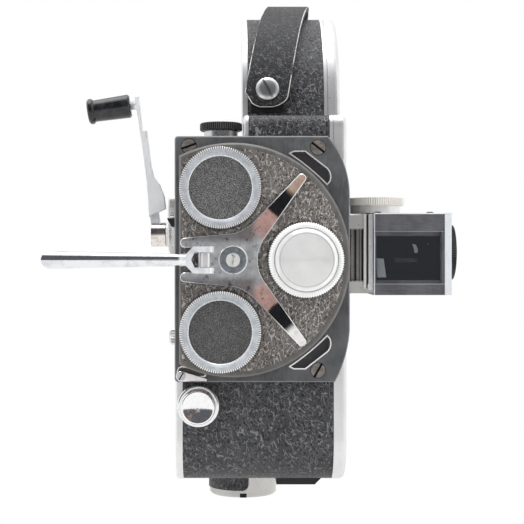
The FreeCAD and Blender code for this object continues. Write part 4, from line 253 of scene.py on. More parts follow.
def black_metal(name, colour, rubbed_and_lit, roughness=0.42, grain=2600.0):
    """Blackened metal, rubbed paler on its high spots."""
    made, shader, place = surface(name)
    fine = place.noise(grain, 3.0, 0.6)
    cloud = place.noise(240.0, 4.0, 0.6)
    wear_and_highlight = (cloud * 0.7 + fine * 0.3).above(0.58, 0.72)
    drive(shader, Base_Color=wear_and_highlight.mix(colour, rubbed_and_lit), Roughness=roughness + fine * 0.16 - wear_and_highlight * 0.1,
          Normal=fine.bump(0.35, 0.00003))
    return made


wear(black_metal("foot_black", rgb(30, 30, 32), rgb(58, 57, 56)), "foot_bar")

NOTCH_LOW, NOTCH_HIGH = (-0.00146, -0.0149, 0.00004), (0.00146, -0.01302, 0.00186)


def thing(name, data):
    """Adds an object to the scene."""
    made = bpy.data.objects.new(name, data)
    bpy.context.collection.objects.link(made)
    return made


def placed(name, shape, material):
    """Adds an object made of a finished bmesh."""
    mesh = bpy.data.meshes.new(name)
    shape.to_mesh(mesh)
    shape.free()
    mesh.materials.append(material)
    return thing(name, mesh)


# A black block fills the notch as painted shade.
shape = bmesh.new()
bmesh.ops.create_cube(shape, size=1.0)
for vert in shape.verts:
    vert.co = Vector([low + (high - low) * (c + 0.5) for low, high, c in zip(NOTCH_LOW, NOTCH_HIGH, vert.co)])
notch = placed("notch_shade_block", shape, black_metal("notch_shade_black", rgb(14, 14, 15), rgb(24, 24, 25), 0.6))
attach(notch, "camera_body")

# The clockwork between the cover and the divider: a steel back plate on pillars, and a brass barrel,
# wheel and governor turned on the lathe, which leaves fine rings round each arbor.
def off_axis(across, up):
    """How far a place is from an axis, worked out from its two offsets."""
    return (across * across + up * up).put("SQRT")


def turned(name, light, dark, roughness, centre, axis, pitch=0.00028, metallic=1.0, tilt=0.12):
    """Metal turned on a lathe: fine rings round an axis, whose slopes spread the light into wedges."""
    made, shader, place = surface(name, Metallic=metallic)
    flat = (place - centre) * {"X": (0.0, 1.0, 1.0), "Y": (1.0, 0.0, 1.0), "Z": (1.0, 1.0, 0.0)}[axis]
    x, y, z = flat.parts()
    across, up = {"X": (y, z), "Y": (x, z), "Z": (x, y)}[axis]
    ring = (off_axis(across, up) * (2 * math.pi / pitch)).put("SINE")
    grain = place.noise(4200.0, 3.0, 0.6)
    stain = place.noise(170.0, 5.0, 0.65)
    tone = (ring * 0.08 + stain * 0.5 + grain * 0.25 + 0.22).above(0.1, 0.9)
    settings = {"vector_type": "VECTOR", "convert_from": "OBJECT", "convert_to": "WORLD"}
    outwards = place.node("ShaderNodeVectorTransform", settings, {"Vector": flat.put("NORMALIZE")})
    facing = grain.bump(0.3, 0.00002) + outwards * (ring * tilt)
    drive(shader, Base_Color=tone.mix(dark, light), Roughness=roughness + grain * 0.12 + stain * 0.08,
          Normal=facing.put("NORMALIZE"))
    return made


def middle(name):
    """The middle of a CAD node's box."""
    low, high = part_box(name)
    return tuple((a + b) / 2 for a, b in zip(low, high))


BRASS_LIGHT, BRASS_DARK = rgb(214, 180, 104), rgb(150, 112, 52)
STEEL_LIGHT, STEEL_DARK = rgb(196, 197, 199), rgb(128, 129, 132)
for name in ("mainspring_barrel", "intermediate_wheel", "governor"):
    wear(turned(name + "_brass", BRASS_LIGHT, BRASS_DARK, 0.24, middle(name), "X"), name)
wear(turned("mainspring_steel", rgb(120, 124, 140), rgb(66, 66, 76), 0.3, middle("mainspring"), "X", 0.0009),
     "mainspring")
wear(black_metal("shutter_black", rgb(22, 22, 23), rgb(60, 60, 62), 0.35), "shutter")
wear(cast_metal("plate_steel", STEEL_LIGHT, STEEL_DARK, 0.26), "mechanism_plate")

# The film path on the door side: a polished gate with a sprung pressure plate, two steel sprockets
# and two black daylight spools on fixed spindles.
wear(cast_metal("gate_steel", rgb(214, 215, 217), rgb(160, 161, 163), 0.16), "gate_plate", "pressure_plate")
for name in ("sprocket_upper", "sprocket_lower", "spool_spindles"):
    wear(turned(name + "_steel", STEEL_LIGHT, STEEL_DARK, 0.22, middle(name), "X"), name)
for name in ("feed_spool", "takeup_spool"):
    wear(turned(name + "_paint", rgb(44, 44, 46), rgb(20, 20, 21), 0.32, middle(name), "X", 0.0012, 0.0), name)

# The front plate is a thick casting, planed flat and painted slate grey. The paint has worn thin
# along its chamfered edges, and small chips show the metal.
PLATE_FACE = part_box("front_plate")[0].y
SLATE, SLATE_DARK, SLATE_WORN = rgb(90, 91, 93), rgb(68, 69, 71), rgb(150, 151, 152)


def painted(name, colour, dark, wear_and_highlight, edge, edge_depth=0.0006, roughness=0.42):
    """Satin paint over metal, clouded and brushed, worn pale on the chamfer behind the front face."""
    made, shader, place = surface(name)
    cloud = place.noise(130.0, 4.0, 0.6)
    fine = place.noise(2400.0, 3.0, 0.65)
    streak = (place * (1.0, 1.0, 0.12)).noise(1400.0, 3.0, 0.6)
    chip = place.noise(700.0, 4.0, 0.75).above(0.71, 0.74)
    shade = (cloud * 0.55 + streak * 0.3 + fine * 0.15).above(0.36, 0.62).mix(dark, colour)
    depth = place.parts()[1] - edge
    chamfer = depth.above(0.00005, edge_depth) * depth.below(edge_depth * 1.5, edge_depth * 2)
    bare = (chip * 0.6 + chamfer * 0.7).put("MINIMUM", 1.0)
    drive(shader, Base_Color=bare.mix(shade, wear_and_highlight), Roughness=roughness + fine * 0.12 - chip * 0.1,
          Normal=(fine + streak * 0.6 - chip * 0.8).bump(0.3, 0.00003))
    return made


wear(painted("plate_paint", SLATE, SLATE_DARK, SLATE_WORN, PLATE_FACE), "front_plate")

# Two bright pressed frames are let into the plate beside the turret, round recesses painted dark
# brown. Each frame is polished and sits in a black line of shadow.
def chrome(name, light, dark, roughness, clouds=300.0, dirt_and_shade=0.5, metallic=1.0):
    """Bright plated metal with hair scratches, faint clouds and a few dull specks."""
    made, shader, place = surface(name, Metallic=metallic)
    cloud = place.noise(clouds, 4.0, 0.6)
    fine = place.noise(3800.0, 3.0, 0.6)
    speck = place.noise(1500.0, 2.0, 0.8).above(0.7, 0.76)
    scratch = (place * (1.0, 0.25, 0.2)).noise(2600.0, 4.0, 0.7).above(0.62, 0.7)
    drive(shader, Base_Color=(cloud.above(0.42, 0.72) * 0.6 + speck * dirt_and_shade).put("MINIMUM", 1.0).mix(light, dark),
          Roughness=roughness + fine * 0.05 + speck * 0.3 + scratch * 0.08,
          Normal=(fine * 0.4 + scratch * 0.2).bump(0.12, 0.00001))
    return made


def piece(name, shape, material, body, smooth=False):
    """Makes an object of a finished bmesh and lets it ride on a body."""
    bmesh.ops.recalc_face_normals(shape, faces=shape.faces)
    for face in shape.faces:
        face.smooth = smooth
    made = placed(name, shape, material)
    made.data.set_sharp_from_angle(angle=math.radians(35))
    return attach(made, body)


def tile(shape, outline, y, thick):
    """Adds a flat plate to a bmesh: an outline of (x, z) points, from its face at y back by thick."""
    front = [shape.verts.new((x, y, z)) for x, z in outline]
    back = [shape.verts.new((x, y + thick, z)) for x, z in outline]
    shape.faces.new(front)
    shape.faces.new(back[::-1])
    for i in range(len(outline)):
        j = (i + 1) % len(outline)
        shape.faces.new((front[i], front[j], back[j], back[i]))


def circle(x, z, radius, steps=24, start=0.0, end=360.0):
    """Points round a circle in the (x, z) plane."""
    turns = [math.radians(start + (end - start) * i / steps) for i in range(steps + (abs(end - start) < 360))]
    return [(x + radius * math.cos(t), z + radius * math.sin(t)) for t in turns]


bright_trim = chrome("bright_trim", rgb(252, 252, 251), rgb(228, 227, 226), 0.2, metallic=0.6)
wear(bright_trim, "crescent_trims")

# The recesses' floors are covered with dark brown felt paper, glued in.
TURRET_AXIS = (-0.0045, -0.074, 0.1055)
RECESS_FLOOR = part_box("crescent_trims")[1].y
RECESS_ARC_R = 0.0481
RECESS_CORNERS = [(0.0244, 0.0438), (0.0291, 0.0438), (0.038, 0.037), (0.0389, 0.0316)]
brown_card = black_metal("brown_card", rgb(46, 45, 48), rgb(92, 90, 92), 0.5, 1400.0)
shape = bmesh.new()
for side in (1, -1):
    points = circle(0.0, 0.0, RECESS_ARC_R, 8, 39.0, 62.0) + RECESS_CORNERS
    outline = [(TURRET_AXIS[0] + x, TURRET_AXIS[2] + side * z) for x, z in points]
    tile(shape, outline[::side], RECESS_FLOOR - 0.0001, 0.00008)
piece("recess_cards", shape, brown_card, "camera_body")

# The plate's screws are bare steel gone brown, sunk flush, with painted shade round their heads and in
# their slots. The same node holds the lock lever's pivot screw, plain grey steel, whose slot is painted dark too.
FLUSH_SCREWS = ((0.0297, 0.0, 0.1508), (0.0297, 0.0, 0.0611), (-0.0223, 0.0, 0.1513))
FLUSH_SLOT, LOCK_SLOT = -0.06794, -0.07044
made, shader, place = surface("screw_steel", Metallic=0.5)
x, y, z = place.parts()
lock = x.below(-0.0215, -0.0213) * z.below(0.07, 0.071)
# dirt_and_shade: painted shade in the slots and, on the flush screws, round the heads.
dirt_and_shade = y.above(FLUSH_SLOT, FLUSH_SLOT + 0.00006) * (1.0 - lock) + y.above(LOCK_SLOT, LOCK_SLOT + 0.00006) * lock
reach = 1.0
for screw in FLUSH_SCREWS:
    across, _, rise = (place - screw).parts()
    reach = off_axis(across, rise).put("MINIMUM", reach)
dirt_and_shade = (reach.above(0.0028, 0.003) * (1.0 - lock) * 0.8 + dirt_and_shade).put("MINIMUM", 1.0)
grain = place.noise(3400.0, 3.0, 0.6)
cloud = place.noise(700.0, 3.0, 0.6)
brown = (cloud * 0.6 + grain * 0.4).above(0.36, 0.62).mix(rgb(104, 99, 95), rgb(150, 142, 136))
drive(shader, Base_Color=dirt_and_shade.mix(lock.mix(brown, rgb(196, 196, 198)), rgb(26, 24, 23)),
      Roughness=0.36 + grain * 0.12 + dirt_and_shade * 0.3, Normal=grain.bump(0.3, 0.00002))
wear(made, "front_screws")

# The turret lock is a small polished lever on a pivot. It stands over a thin leaf spring of browned
# steel, whose edge has stayed bright.
lock_chrome = chrome("lock_chrome", rgb(248, 248, 248), rgb(214, 216, 222), 0.12)
wear(lock_chrome, "lock_lever")
SPRING_TIP = [(-0.0152, 0.0592), (-0.0158, 0.0584), (-0.0262, 0.0587), (-0.0272, 0.0606), (-0.0265, 0.0623),
              (-0.0252, 0.0629), (-0.0236, 0.0626), (-0.0168, 0.0602)]
SPRING_EDGE, SPRING_FACE, SPRING_SHEET = -0.06804, -0.06808, 0.00004


def plate(name, outline, face, thick, material, body):
    """A piece that is one flat plate."""
    shape = bmesh.new()
    tile(shape, outline, face, thick)
    return piece(name, shape, material, body)


plate("lock_spring_edge", SPRING_TIP, SPRING_EDGE, SPRING_SHEET, lock_chrome, "camera_body")
heart_x = sum(x for x, z in SPRING_TIP) / len(SPRING_TIP)
heart_z = sum(z for x, z in SPRING_TIP) / len(SPRING_TIP)
inner = [(x + (heart_x - x) * 0.07, z + (heart_z - z) * 0.22) for x, z in SPRING_TIP]
spring_brown = black_metal("spring_brown", rgb(62, 58, 56), rgb(112, 104, 98), 0.3)
plate("lock_spring", inner, SPRING_FACE, SPRING_SHEET, spring_brown, "camera_body")

# The turret disc is cast, turned and painted like the plate, with a bevel rubbed down to the metal.
TURRET_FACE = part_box("turret_disc")[0].y
wear(painted("turret_paint", rgb(106, 104, 101), rgb(84, 82, 80), rgb(120, 118, 114), TURRET_FACE, 0.0009, 0.4),
     "turret_disc")

# Its covering is leather-cloth, glued on: brown-grey, with thin wrinkles that run down and across,
# whose crests are painted pale as a highlight, and pits painted dark as shade. A dark ring of painted
# shade lies round each cap.
CLOTH_DARK, CLOTH_LIGHT, CLOTH_PIT_SHADE = rgb(90, 86, 83), rgb(120, 115, 111), rgb(52, 48, 46)
CLOTH_WRINKLE_HIGHLIGHT, CLOTH_CAP_SHADE = rgb(200, 194, 188), rgb(34, 32, 31)
cloth, shader, place = surface("turret_cloth", Specular_IOR_Level=0.45)
patches = place.noise(330.0, 2.0)
upright = folds(place, 560.0, 0.25, 0.3, 0.09, 0.45) * patches.above(0.48, 0.54)
leaning = folds(place, 560.0, -0.5, 0.3, 0.09, 0.45) * patches.below(0.46, 0.52)
pale = upright.put("MAXIMUM", leaning) * place.noise(620.0, 1.0).above(0.4, 0.5)
grit = place.noise(3200.0, 2.0, 0.65)
pit = place.noise(1700.0, 1.0, 0.5).below(0.36, 0.44)
ground = (place.noise(70.0, 3.0) * 0.5 + grit * 0.5).above(0.34, 0.64).mix(CLOTH_DARK, CLOTH_LIGHT)
ground = (pale * (grit * 0.8 + 0.35)).mix(pit.mix(ground, CLOTH_PIT_SHADE), CLOTH_WRINKLE_HIGHLIGHT)
# cap_shade: a ring of painted shade on the cloth round each cap's rim.
cap_shade = 0.0
for cap, reach in (("cap_ring_upper", 0.016), ("cap_ring_lower", 0.016), ("front_cap", 0.0149)):
    x, _, z = (place - middle(cap)).parts()
    cap_shade = off_axis(x, z).below(reach, reach + 0.0016, 0.75) + cap_shade
drive(shader, Base_Color=cap_shade.mix(ground, CLOTH_CAP_SHADE), Roughness=0.5 + grit * 0.2 - pale * 0.1,
      Normal=(pale * 0.6 + grit * 0.35 - pit * 0.5).bump(1.0, 0.00022))
wear(cloth, "turret_covering")

# The hub: a steel washer and a slotted screw hold the turret on its stud. The washer is satin grey
# with a polished bevel, and the screw's head is polished and cross-hatched by wear.
HATCH = 900.0
made, shader, place = surface("hub_steel", Metallic=0.6)
x, _, z = (place - middle("turret_pivot")).parts()
radius = off_axis(x, z)
head = radius.below(0.0027, 0.0029)
bevel = radius.above(0.0052, 0.0054)
grain = place.noise(3600.0, 3.0, 0.65)
cloud = place.noise(520.0, 4.0, 0.6)
cross = ((x + z) * HATCH).put("SINE").above(0.8, 0.96) * ((z - x) * HATCH).put("SINE").above(-0.2, 0.4)
satin = (cloud * 0.6 + grain * 0.4).above(0.38, 0.62).mix(rgb(104, 110, 116), rgb(146, 152, 158))
polish = (cross * 0.5 + cloud.above(0.6, 0.7) * 0.4).mix(rgb(246, 246, 245), rgb(150, 152, 156))
drive(shader, Base_Color=(head + bevel).put("MINIMUM", 1.0).mix(satin, polish),
      Roughness=0.34 + grain * 0.1 - head * 0.2 - bevel * 0.2, Normal=grain.bump(0.25, 0.00002))
wear(made, "turret_pivot")

# The spider is pressed from thick steel sheet and polished. Its middle is stained and, where the arms meet,
# rougher with a dark painted reflection; its arms mirror what stands before them, and its bevel is
# painted bright all round as a highlight. Its lug carries the lever.
SPIDER_FACE = -0.0762
made, shader, place = surface("spider_steel")
x, y, z = (place - TURRET_AXIS).parts()
rise = z.put("ABSOLUTE")
grain = place.noise(2900.0, 3.0, 0.7)
cloud = place.noise(260.0, 4.0, 0.6)
steel = (cloud * 0.5 + grain * 0.5).above(0.36, 0.62).mix(rgb(206, 207, 208), rgb(244, 244, 243))
stain = place.noise(330.0, 5.0, 0.7).above(0.55, 0.66) * x.below(0.012, 0.016) * 0.55
# A dark patch where the arms meet is a painted reflection.
painted_dark_reflection = x.below(0.0065, 0.0105) * rise.above(0.0055, 0.009)
tone = (painted_dark_reflection * 0.6 + stain).put("MINIMUM", 1.0).mix(steel, rgb(104, 107, 114))
# The bevel and the parts standing before the face are painted near-white as a highlight.
wear_and_highlight = y.above(-0.00214, -0.00206) * y.below(-0.0019, -0.0017)
wear_and_highlight = (y.below(-0.0027, -0.0024) + wear_and_highlight).put("MINIMUM", 1.0)
drive(shader, Base_Color=wear_and_highlight.mix(tone, rgb(246, 246, 245)), Metallic=1.0 - wear_and_highlight * 0.4,
      Roughness=0.01 + grain * 0.02 + wear_and_highlight * 0.1 + painted_dark_reflection * 0.12, Normal=grain.bump(0.015, 0.00002))
wear(made, "turret_spider")
wear(turned("pin_steel", rgb(222, 222, 222), rgb(150, 148, 146), 0.16, middle("lever_pin"), "Z", 0.0003), "lever_pin")

# The lever is a half-round bar, ground and plated, that narrows to a fork. Its plating is bright.
lever_chrome = chrome("lever_chrome", rgb(240, 241, 243), rgb(196, 198, 202), 0.1, 160.0)
shader, place = basis(lever_chrome)
fork = place.parts()[0].above(-0.0262, -0.025)
drive(shader, Metallic=1.0 - fork * 0.7)
wear(lever_chrome, "turret_lever")

# Two side caps close the unused ports: bright satin rings with a toothed edge, cut on the lathe.
# The teeth and the thin inner lip are polished by use and carry a painted highlight, with painted shade between
# the teeth. Each holds a disc of black crackle paint.
CAP_TEETH = 112
CAP_RIM_R, CAP_LIP_R = 0.015, 0.0128


def cap_metal(name, node):
    """Satin metal with a fine grain on its face, polished on its teeth and inner lip, which carry a painted
    highlight, with painted shade between the teeth.
    """
    made, shader, place = surface(name, Metallic=0.5)
    x, _, z = (place - middle(node)).parts()
    radius = off_axis(x, z)
    teeth = (x.put("ARCTAN2", z) * CAP_TEETH).put("COSINE").above(-0.5, 0.5)
    edge = radius.above(CAP_RIM_R, CAP_RIM_R + 0.0001)
    lip = radius.below(CAP_LIP_R - 0.00005, CAP_LIP_R + 0.00005)
    polish_and_highlight = edge * teeth + lip
    grain = place.noise(3300.0, 4.0, 0.7)
    cloud = place.noise(330.0, 3.0, 0.6)
    satin = (grain * 0.55 + cloud * 0.45).above(0.38, 0.62).mix(rgb(176, 181, 187), rgb(210, 214, 219))
    # Painted shade between the teeth.
    satin = (edge * (1.0 - teeth)).mix(satin, rgb(132, 132, 132))
    drive(shader, Base_Color=polish_and_highlight.put("MINIMUM", 1.0).mix(satin, rgb(255, 255, 255)),
          Roughness=0.38 + grain * 0.14 - polish_and_highlight * 0.18, Normal=(grain * (1.0 - polish_and_highlight * 0.8)).bump(0.4, 0.00003))
    return made


def crackle(name, dark, light):
    """Wrinkle-finish paint: fine pebbles, with paler specks where it is rubbed."""
    made, shader, place = surface(name)
    pebble = (place + (place.noise(1600.0, 2.0) - 0.5) * 0.0006).cells(2100.0, "SMOOTH_F1")
    cloud = place.noise(420.0, 4.0, 0.65)
    spot = (pebble.below(0.16, 0.42) * cloud.above(0.42, 0.6)) * 0.7
    speck = place.noise(2600.0, 3.0, 0.8).above(0.4, 0.62)
    tone = (cloud * 0.3 + speck * 0.55 + spot * 0.3).above(0.25, 0.85).mix(dark, light)
    drive(shader, Base_Color=tone, Roughness=0.48 + pebble * 0.2, Normal=(pebble + cloud * 0.4).bump(0.5, 0.00006))
    return made


# The upper disc is painted lighter than the lower as painted light; the two are the same paint.
for side, rubbed_and_lit in (("upper", rgb(146, 146, 145)), ("lower", rgb(118, 117, 115))):
    ring, disc = "cap_ring_" + side, "cap_disc_" + side
    wear(cap_metal(ring + "_metal", ring), ring)
    wear(crackle(disc + "_paint", rgb(48, 48, 49), rubbed_and_lit), disc)

# The front cap over the taking port is turned from one bar of pale metal. Its face keeps the rings of
# the tool inside a polished band, and its rim is cut with fine teeth. Painted shade darkens the gaps
# between the teeth and the two grooves of its face.
FRONT_CAP_TEETH = 96
at = middle("front_cap")
front_metal = turned("front_cap_metal", rgb(255, 255, 254), rgb(226, 226, 225), 0.12, at, "Y", 0.0003, 0.6, 0.28)
shader, place = basis(front_metal)
x, _, z = (place - at).parts()
radius = off_axis(x, z)
# teeth: painted shade between the teeth; step_shade: painted shade in the face's two grooves.
teeth = (x.put("ARCTAN2", z) * FRONT_CAP_TEETH).put("COSINE").below(-0.6, 0.4, 0.7) * radius.above(0.0128, 0.013)
shine = radius.above(0.0107, 0.0109) * radius.below(0.0121, 0.0123)
step_shade = radius.line(0.0105, 0.5) + radius.line(0.0125, 0.6, 0.00022)
rim = radius.above(0.0126, 0.0128)
rings = Wire(place.tree, shader.inputs["Base Color"].links[0].from_socket)
plain = (shine + rim * 0.7).mix(rings, rgb(255, 255, 254))
drive(shader, Base_Color=(teeth * 0.22 + step_shade * 0.8).put("MINIMUM", 1.0).mix(plain, rgb(128, 128, 127)),
      Metallic=0.6 - rim * 0.4)
wear(front_metal, "front_cap")

# The release button stands in a chrome collar on the front. Its face is dished, turned and plated,
# so a piece with a hollow face stands for the CAD button; a coil spring lifts it.
wear(chrome("collar_chrome", rgb(245, 245, 245), rgb(206, 205, 206), 0.1), "release_collar")
wear(cast_metal("spring_steel", rgb(176, 176, 178), rgb(112, 112, 114), 0.22), "release_spring")
low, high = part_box("release_spring")
coil = thing("release_coil", nodes["release_spring"].data.copy())
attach(coil, "camera_body")
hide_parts("release_spring")
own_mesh(coil)
BUTTON_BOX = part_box("release_button")
RIGHT, BACK, UP = Vector((1, 0, 0)), Vector((0, 1, 0)), Vector((0, 0, 1))
DISH_R, DISH_DEPTH, DISH_EDGE_R, DISH_STEPS = 0.0107, 0.0022, 0.0061, 12


def lathe(shape, profile, centre, axis, steps=96, hollow=False):
    """Adds a turned body from (distance along the axis, radius) points: closed at its ends, or a hollow ring."""
    aside = UP if abs(axis.z) < 0.5 else RIGHT
    first = axis.cross(aside).normalized()
    second = axis.cross(first)
    rows = []
    for reach, radius in profile:
        turns = [2 * math.pi * i / steps for i in range(steps)]
        rows.append([shape.verts.new(centre + axis * reach + (first * math.cos(t) + second * math.sin(t)) * radius)
                     for t in turns])
    for low, high in zip(rows, rows[1:] + rows[:1] if hollow else rows[1:]):
        for i in range(steps):
            j = (i + 1) % steps
            shape.faces.new((low[i], low[j], high[j], high[i]))
    if hollow:
        return
    for row, (reach, radius) in ((rows[0], profile[0]), (rows[-1], profile[-1])):
        pole = shape.verts.new(centre + axis * reach)
        for i in range(steps):
            shape.faces.new((row[i], row[(i + 1) % steps], pole))


length = BUTTON_BOX[1].y - BUTTON_BOX[0].y
profile = [(length, 0.0024), (0.005, 0.0024), (0.005, 0.00695), (0.0047, 0.00699), (0.0016, 0.00699),
           (0.001, 0.00692), (0.0005, 0.0067), (0.0003, 0.0064)]
for step in range(DISH_STEPS):
    reach = DISH_EDGE_R * (1 - step / DISH_STEPS)
    profile.append((DISH_DEPTH - DISH_R + math.sqrt(DISH_R ** 2 - reach ** 2), reach))
shape = bmesh.new()
x, _, z = middle("release_button")
lathe(shape, profile, Vector((x, BUTTON_BOX[0].y, z)), BACK)
button_chrome = chrome("button_chrome", rgb(250, 250, 250), rgb(236, 236, 238), 0.1, 500.0, 0.1)
button = piece("button_dish", shape, button_chrome, "release_button_body", True)
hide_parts("release_button")

# The magnifier's neck and tube are turned aluminium; its lenses are glass; the ring on top is black,
# rubbed on the ridges of its knurl, with a small raised mark.
wear(cast_metal("neck_metal", rgb(232, 232, 230), rgb(176, 176, 176), 0.2), "magnifier_neck")


def show(place, share, first, second):
    """Shows the first shader where share is 0 and the second where it is 1."""
    both = place.node("ShaderNodeMixShader", None, {0: share, 1: first, 2: second})
    place.tree.links.new(both.socket, place.tree.nodes["Material Output"].inputs["Surface"])


def glass(name, tint, specks=0.0):
    """Clear glass with a glossy face: tinted light passes through, more is thrown back at a slant."""
    made, shader, place = surface(name, Metallic=1.0, Base_Color=rgb(250, 250, 252))
    dust = place.cells(330.0).below(0.05, 0.075) * place.noise(310.0, 2.0).above(0.5, 0.58) * specks
    gleam = place.node("ShaderNodeFresnel", None, {"IOR": 1.5})
    clear = place.node("ShaderNodeBsdfTransparent", None, {"Color": tint})
    drive(shader, Roughness=0.02 + dust * 0.6)
    show(place, (gleam + dust + 0.13).put("MINIMUM", 1.0), clear, Wire(place.tree, shader.outputs[0]))
    return made


wear(glass("lens_glass", rgb(236, 240, 250)), "magnifier_lens")


def black_grip(name, centre, axis_index, radius, ridge):
    """Black metal whose knurl is rubbed pale on the ridges near its outer radius."""
    made, shader, place = surface(name)
    numbers = (place - centre).parts()
    del numbers[axis_index]
    reach = off_axis(*numbers)
    fine = place.noise(2400.0, 3.0, 0.65)
    wear_and_highlight = reach.above(radius - 0.00018, radius - 0.00004) * fine.above(0.3, 0.6, 0.35, 1.0)
    drive(shader, Base_Color=wear_and_highlight.mix(rgb(27, 27, 29), ridge), Roughness=0.38 + fine * 0.16,
          Metallic=wear_and_highlight * 0.6, Normal=fine.bump(0.3, 0.00003))
    return made


MAGNIFIER = middle("magnifier_ring")
wear(black_grip("ring_black", MAGNIFIER, 2, 0.0088, rgb(112, 112, 114)), "magnifier_ring")
shape = bmesh.new()
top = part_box("magnifier_ring")[1].z
lathe(shape, [(0.0001, 0.0011), (-0.0001, 0.0011), (-0.00035, 0.0008), (-0.00042, 0.0003)],
      Vector((MAGNIFIER[0], MAGNIFIER[1] - 0.0062, top)), -UP, 20)
piece("ring_mark", shape, bright_trim, "magnifier_ring_body", True)

# The winding crank: a plated bearing and knuckle, a flat plated arm that folds, and a moulded black
# handgrip that spins on the arm's pin.
wear(chrome("crank_chrome", rgb(246, 247, 248), rgb(214, 216, 218), 0.2, 120.0, 0.4, 0.25),
     "crank_bearing", "crank_arm")
# The knuckle's brown clouds are a painted reflection.
wear(chrome("knuckle_chrome", rgb(236, 230, 224), rgb(132, 104, 84), 0.12, 260.0), "crank_hub")
made, shader, place = surface("grip_plastic", Coat_Weight=0.3)
fine = place.noise(2800.0, 3.0, 0.6)
haze = place.noise(280.0, 4.0, 0.6)
scuff = (place * (1.0, 0.3, 1.0)).noise(1500.0, 4.0, 0.75).above(0.66, 0.72)
drive(shader, Base_Color=(haze.above(0.4, 0.7) * 0.5 + scuff * 0.4).mix(rgb(18, 18, 20), rgb(58, 59, 63)),
      Roughness=0.18 + fine * 0.12 + scuff * 0.2, Normal=(fine * 0.5 + scuff * 0.4).bump(0.2, 0.00002))
wear(made, "crank_grip")

# The filming-speed dial is a toothed knob of satin metal with a black groove for its figures, filled
# with white paint. A black index fin and a bright strip stand in front of it on the cover.
def faced(dial, right, up, outwards, lift):
    """The middle of a node's outer face, lifted off it, with the face's right and up directions."""
    low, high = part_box(dial)
    half = (high - low) / 2
    face = (low + high) / 2 + outwards * (abs(half.dot(outwards)) + lift)
    return face, right, up


def around(face, radius, degrees):
    """A matrix for a mark at a radius and an angle round a face, clockwise from its top."""
    centre, right, up = face
    turn = math.radians(degrees)
    radial = up * math.cos(turn) + right * math.sin(turn)
    tangent = right * math.cos(turn) - up * math.sin(turn)
    spin = Matrix((tangent, radial, tangent.cross(radial))).transposed().to_4x4()
    return Matrix.Translation(centre + radial * radius) @ spin


def figure(shape, text, size, matrix):
    """Adds flat figures to a bmesh, placed by a matrix."""
    curve = bpy.data.curves.new("figure", "FONT")
    curve.body = text
    curve.size = size
    curve.align_x = curve.align_y = "CENTER"
    curve.resolution_u = 3
    holder = bpy.data.objects.new("figure", curve)
    mesh = bpy.data.meshes.new_from_object(holder)
    mesh.transform(matrix)
    shape.from_mesh(mesh)
    bpy.data.objects.remove(holder)
    bpy.data.meshes.remove(mesh)


def figures(name, texts, size, face, radius, first, step, paint, body):
    """A piece of painted figures round a face: the first at an angle, then one every step degrees."""
    shape = bmesh.new()
    for i, text in enumerate(texts):
        figure(shape, text, size, around(face, radius, first + step * i))
    return piece(name, shape, paint, body)


def ticks(name, face, radius, count, size, span, material, body):
    """Painted marks round a dial: Geometry Nodes sets one small bar on each point of an arc."""
    group = bpy.data.node_groups.new(name, "GeometryNodeTree")
    values = {"Count": count, "Radius": radius, "Sweep": math.radians(span), "Bar": size, "Paint": material}
    for label, kind in zip(values, ("Int", "Float", "Float", "Vector", "Material")):
        group.interface.new_socket(label, in_out="INPUT", socket_type="NodeSocket" + kind)
    group.interface.new_socket("Geometry", in_out="OUTPUT", socket_type="NodeSocketGeometry")
    start = Wire(group)
    start.node("NodeGroupInput")
    inputs = {s.name: Wire(group, s) for s in group.nodes[0].outputs if s.name}

    def add(kind, **links):
        return start.node(kind, None, links)

    turn = add("GeometryNodeInputIndex") / (inputs["Count"] - 1) * inputs["Sweep"]
    across, up = turn.put("SINE") * inputs["Radius"], turn.put("COSINE") * inputs["Radius"]
    points = add("GeometryNodePoints", Count=inputs["Count"])
    moved = add("GeometryNodeSetPosition", Geometry=points, Position=add("ShaderNodeCombineXYZ", X=across, Y=up))
    bar = add("GeometryNodeMeshCube", Size=inputs["Bar"])
    lean = add("ShaderNodeCombineXYZ", Z=-turn)
    bars = add("GeometryNodeInstanceOnPoints", Points=moved, Instance=bar, Rotation=lean)
    solid = add("GeometryNodeRealizeInstances", Geometry=bars)
    add("NodeGroupOutput", Geometry=add("GeometryNodeSetMaterial", Geometry=solid, Material=inputs["Paint"]))
    carrier = thing(name, bpy.data.meshes.new(name))
    modifier = carrier.modifiers.new("marks", "NODES")
    modifier.node_group = group
    for item in group.interface.items_tree:
        if item.in_out == "INPUT":
            modifier[item.identifier] = values[item.name]
    graph = bpy.context.evaluated_depsgraph_get()
    mesh = bpy.data.meshes.new_from_object(carrier.evaluated_get(graph), depsgraph=graph)
    carrier.modifiers.remove(modifier)
    centre, right, up = face
    mesh.transform(Matrix.Translation(centre) @ Matrix((right, up, right.cross(up))).transposed().to_4x4())
    carrier.data = mesh
    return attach(carrier, body)


LEFT_FACE = (-BACK, UP, -RIGHT)
white_paint = black_metal("white_paint", rgb(232, 231, 226), rgb(208, 206, 200), 0.5, 3000.0)
black_paint = black_metal("black_paint", rgb(24, 24, 25), rgb(52, 52, 53), 0.45, 3000.0)
DIAL_RINGS = 20000.0
made, shader, place = surface("dial_metal")
x, y, z = (place - middle("speed_dial")).parts()
reach = off_axis(y, z)
ring = (reach * DIAL_RINGS).put("SINE")
groove = reach.above(0.0065, 0.0066) * reach.below(0.01, 0.0101) * x.below(-0.0025, -0.0016)
grain = place.noise(3200.0, 4.0, 0.65)
satin = (grain * 0.7 + ring * 0.1).above(0.2, 0.5).mix(rgb(206, 204, 200), rgb(238, 237, 234))
drive(shader, Base_Color=groove.mix(satin, rgb(26, 26, 28)), Metallic=0.7 - groove * 0.7,
      Roughness=0.26 + grain * 0.16 + groove * 0.1, Normal=grain.bump(0.3, 0.00002))
wear(made, "speed_dial")
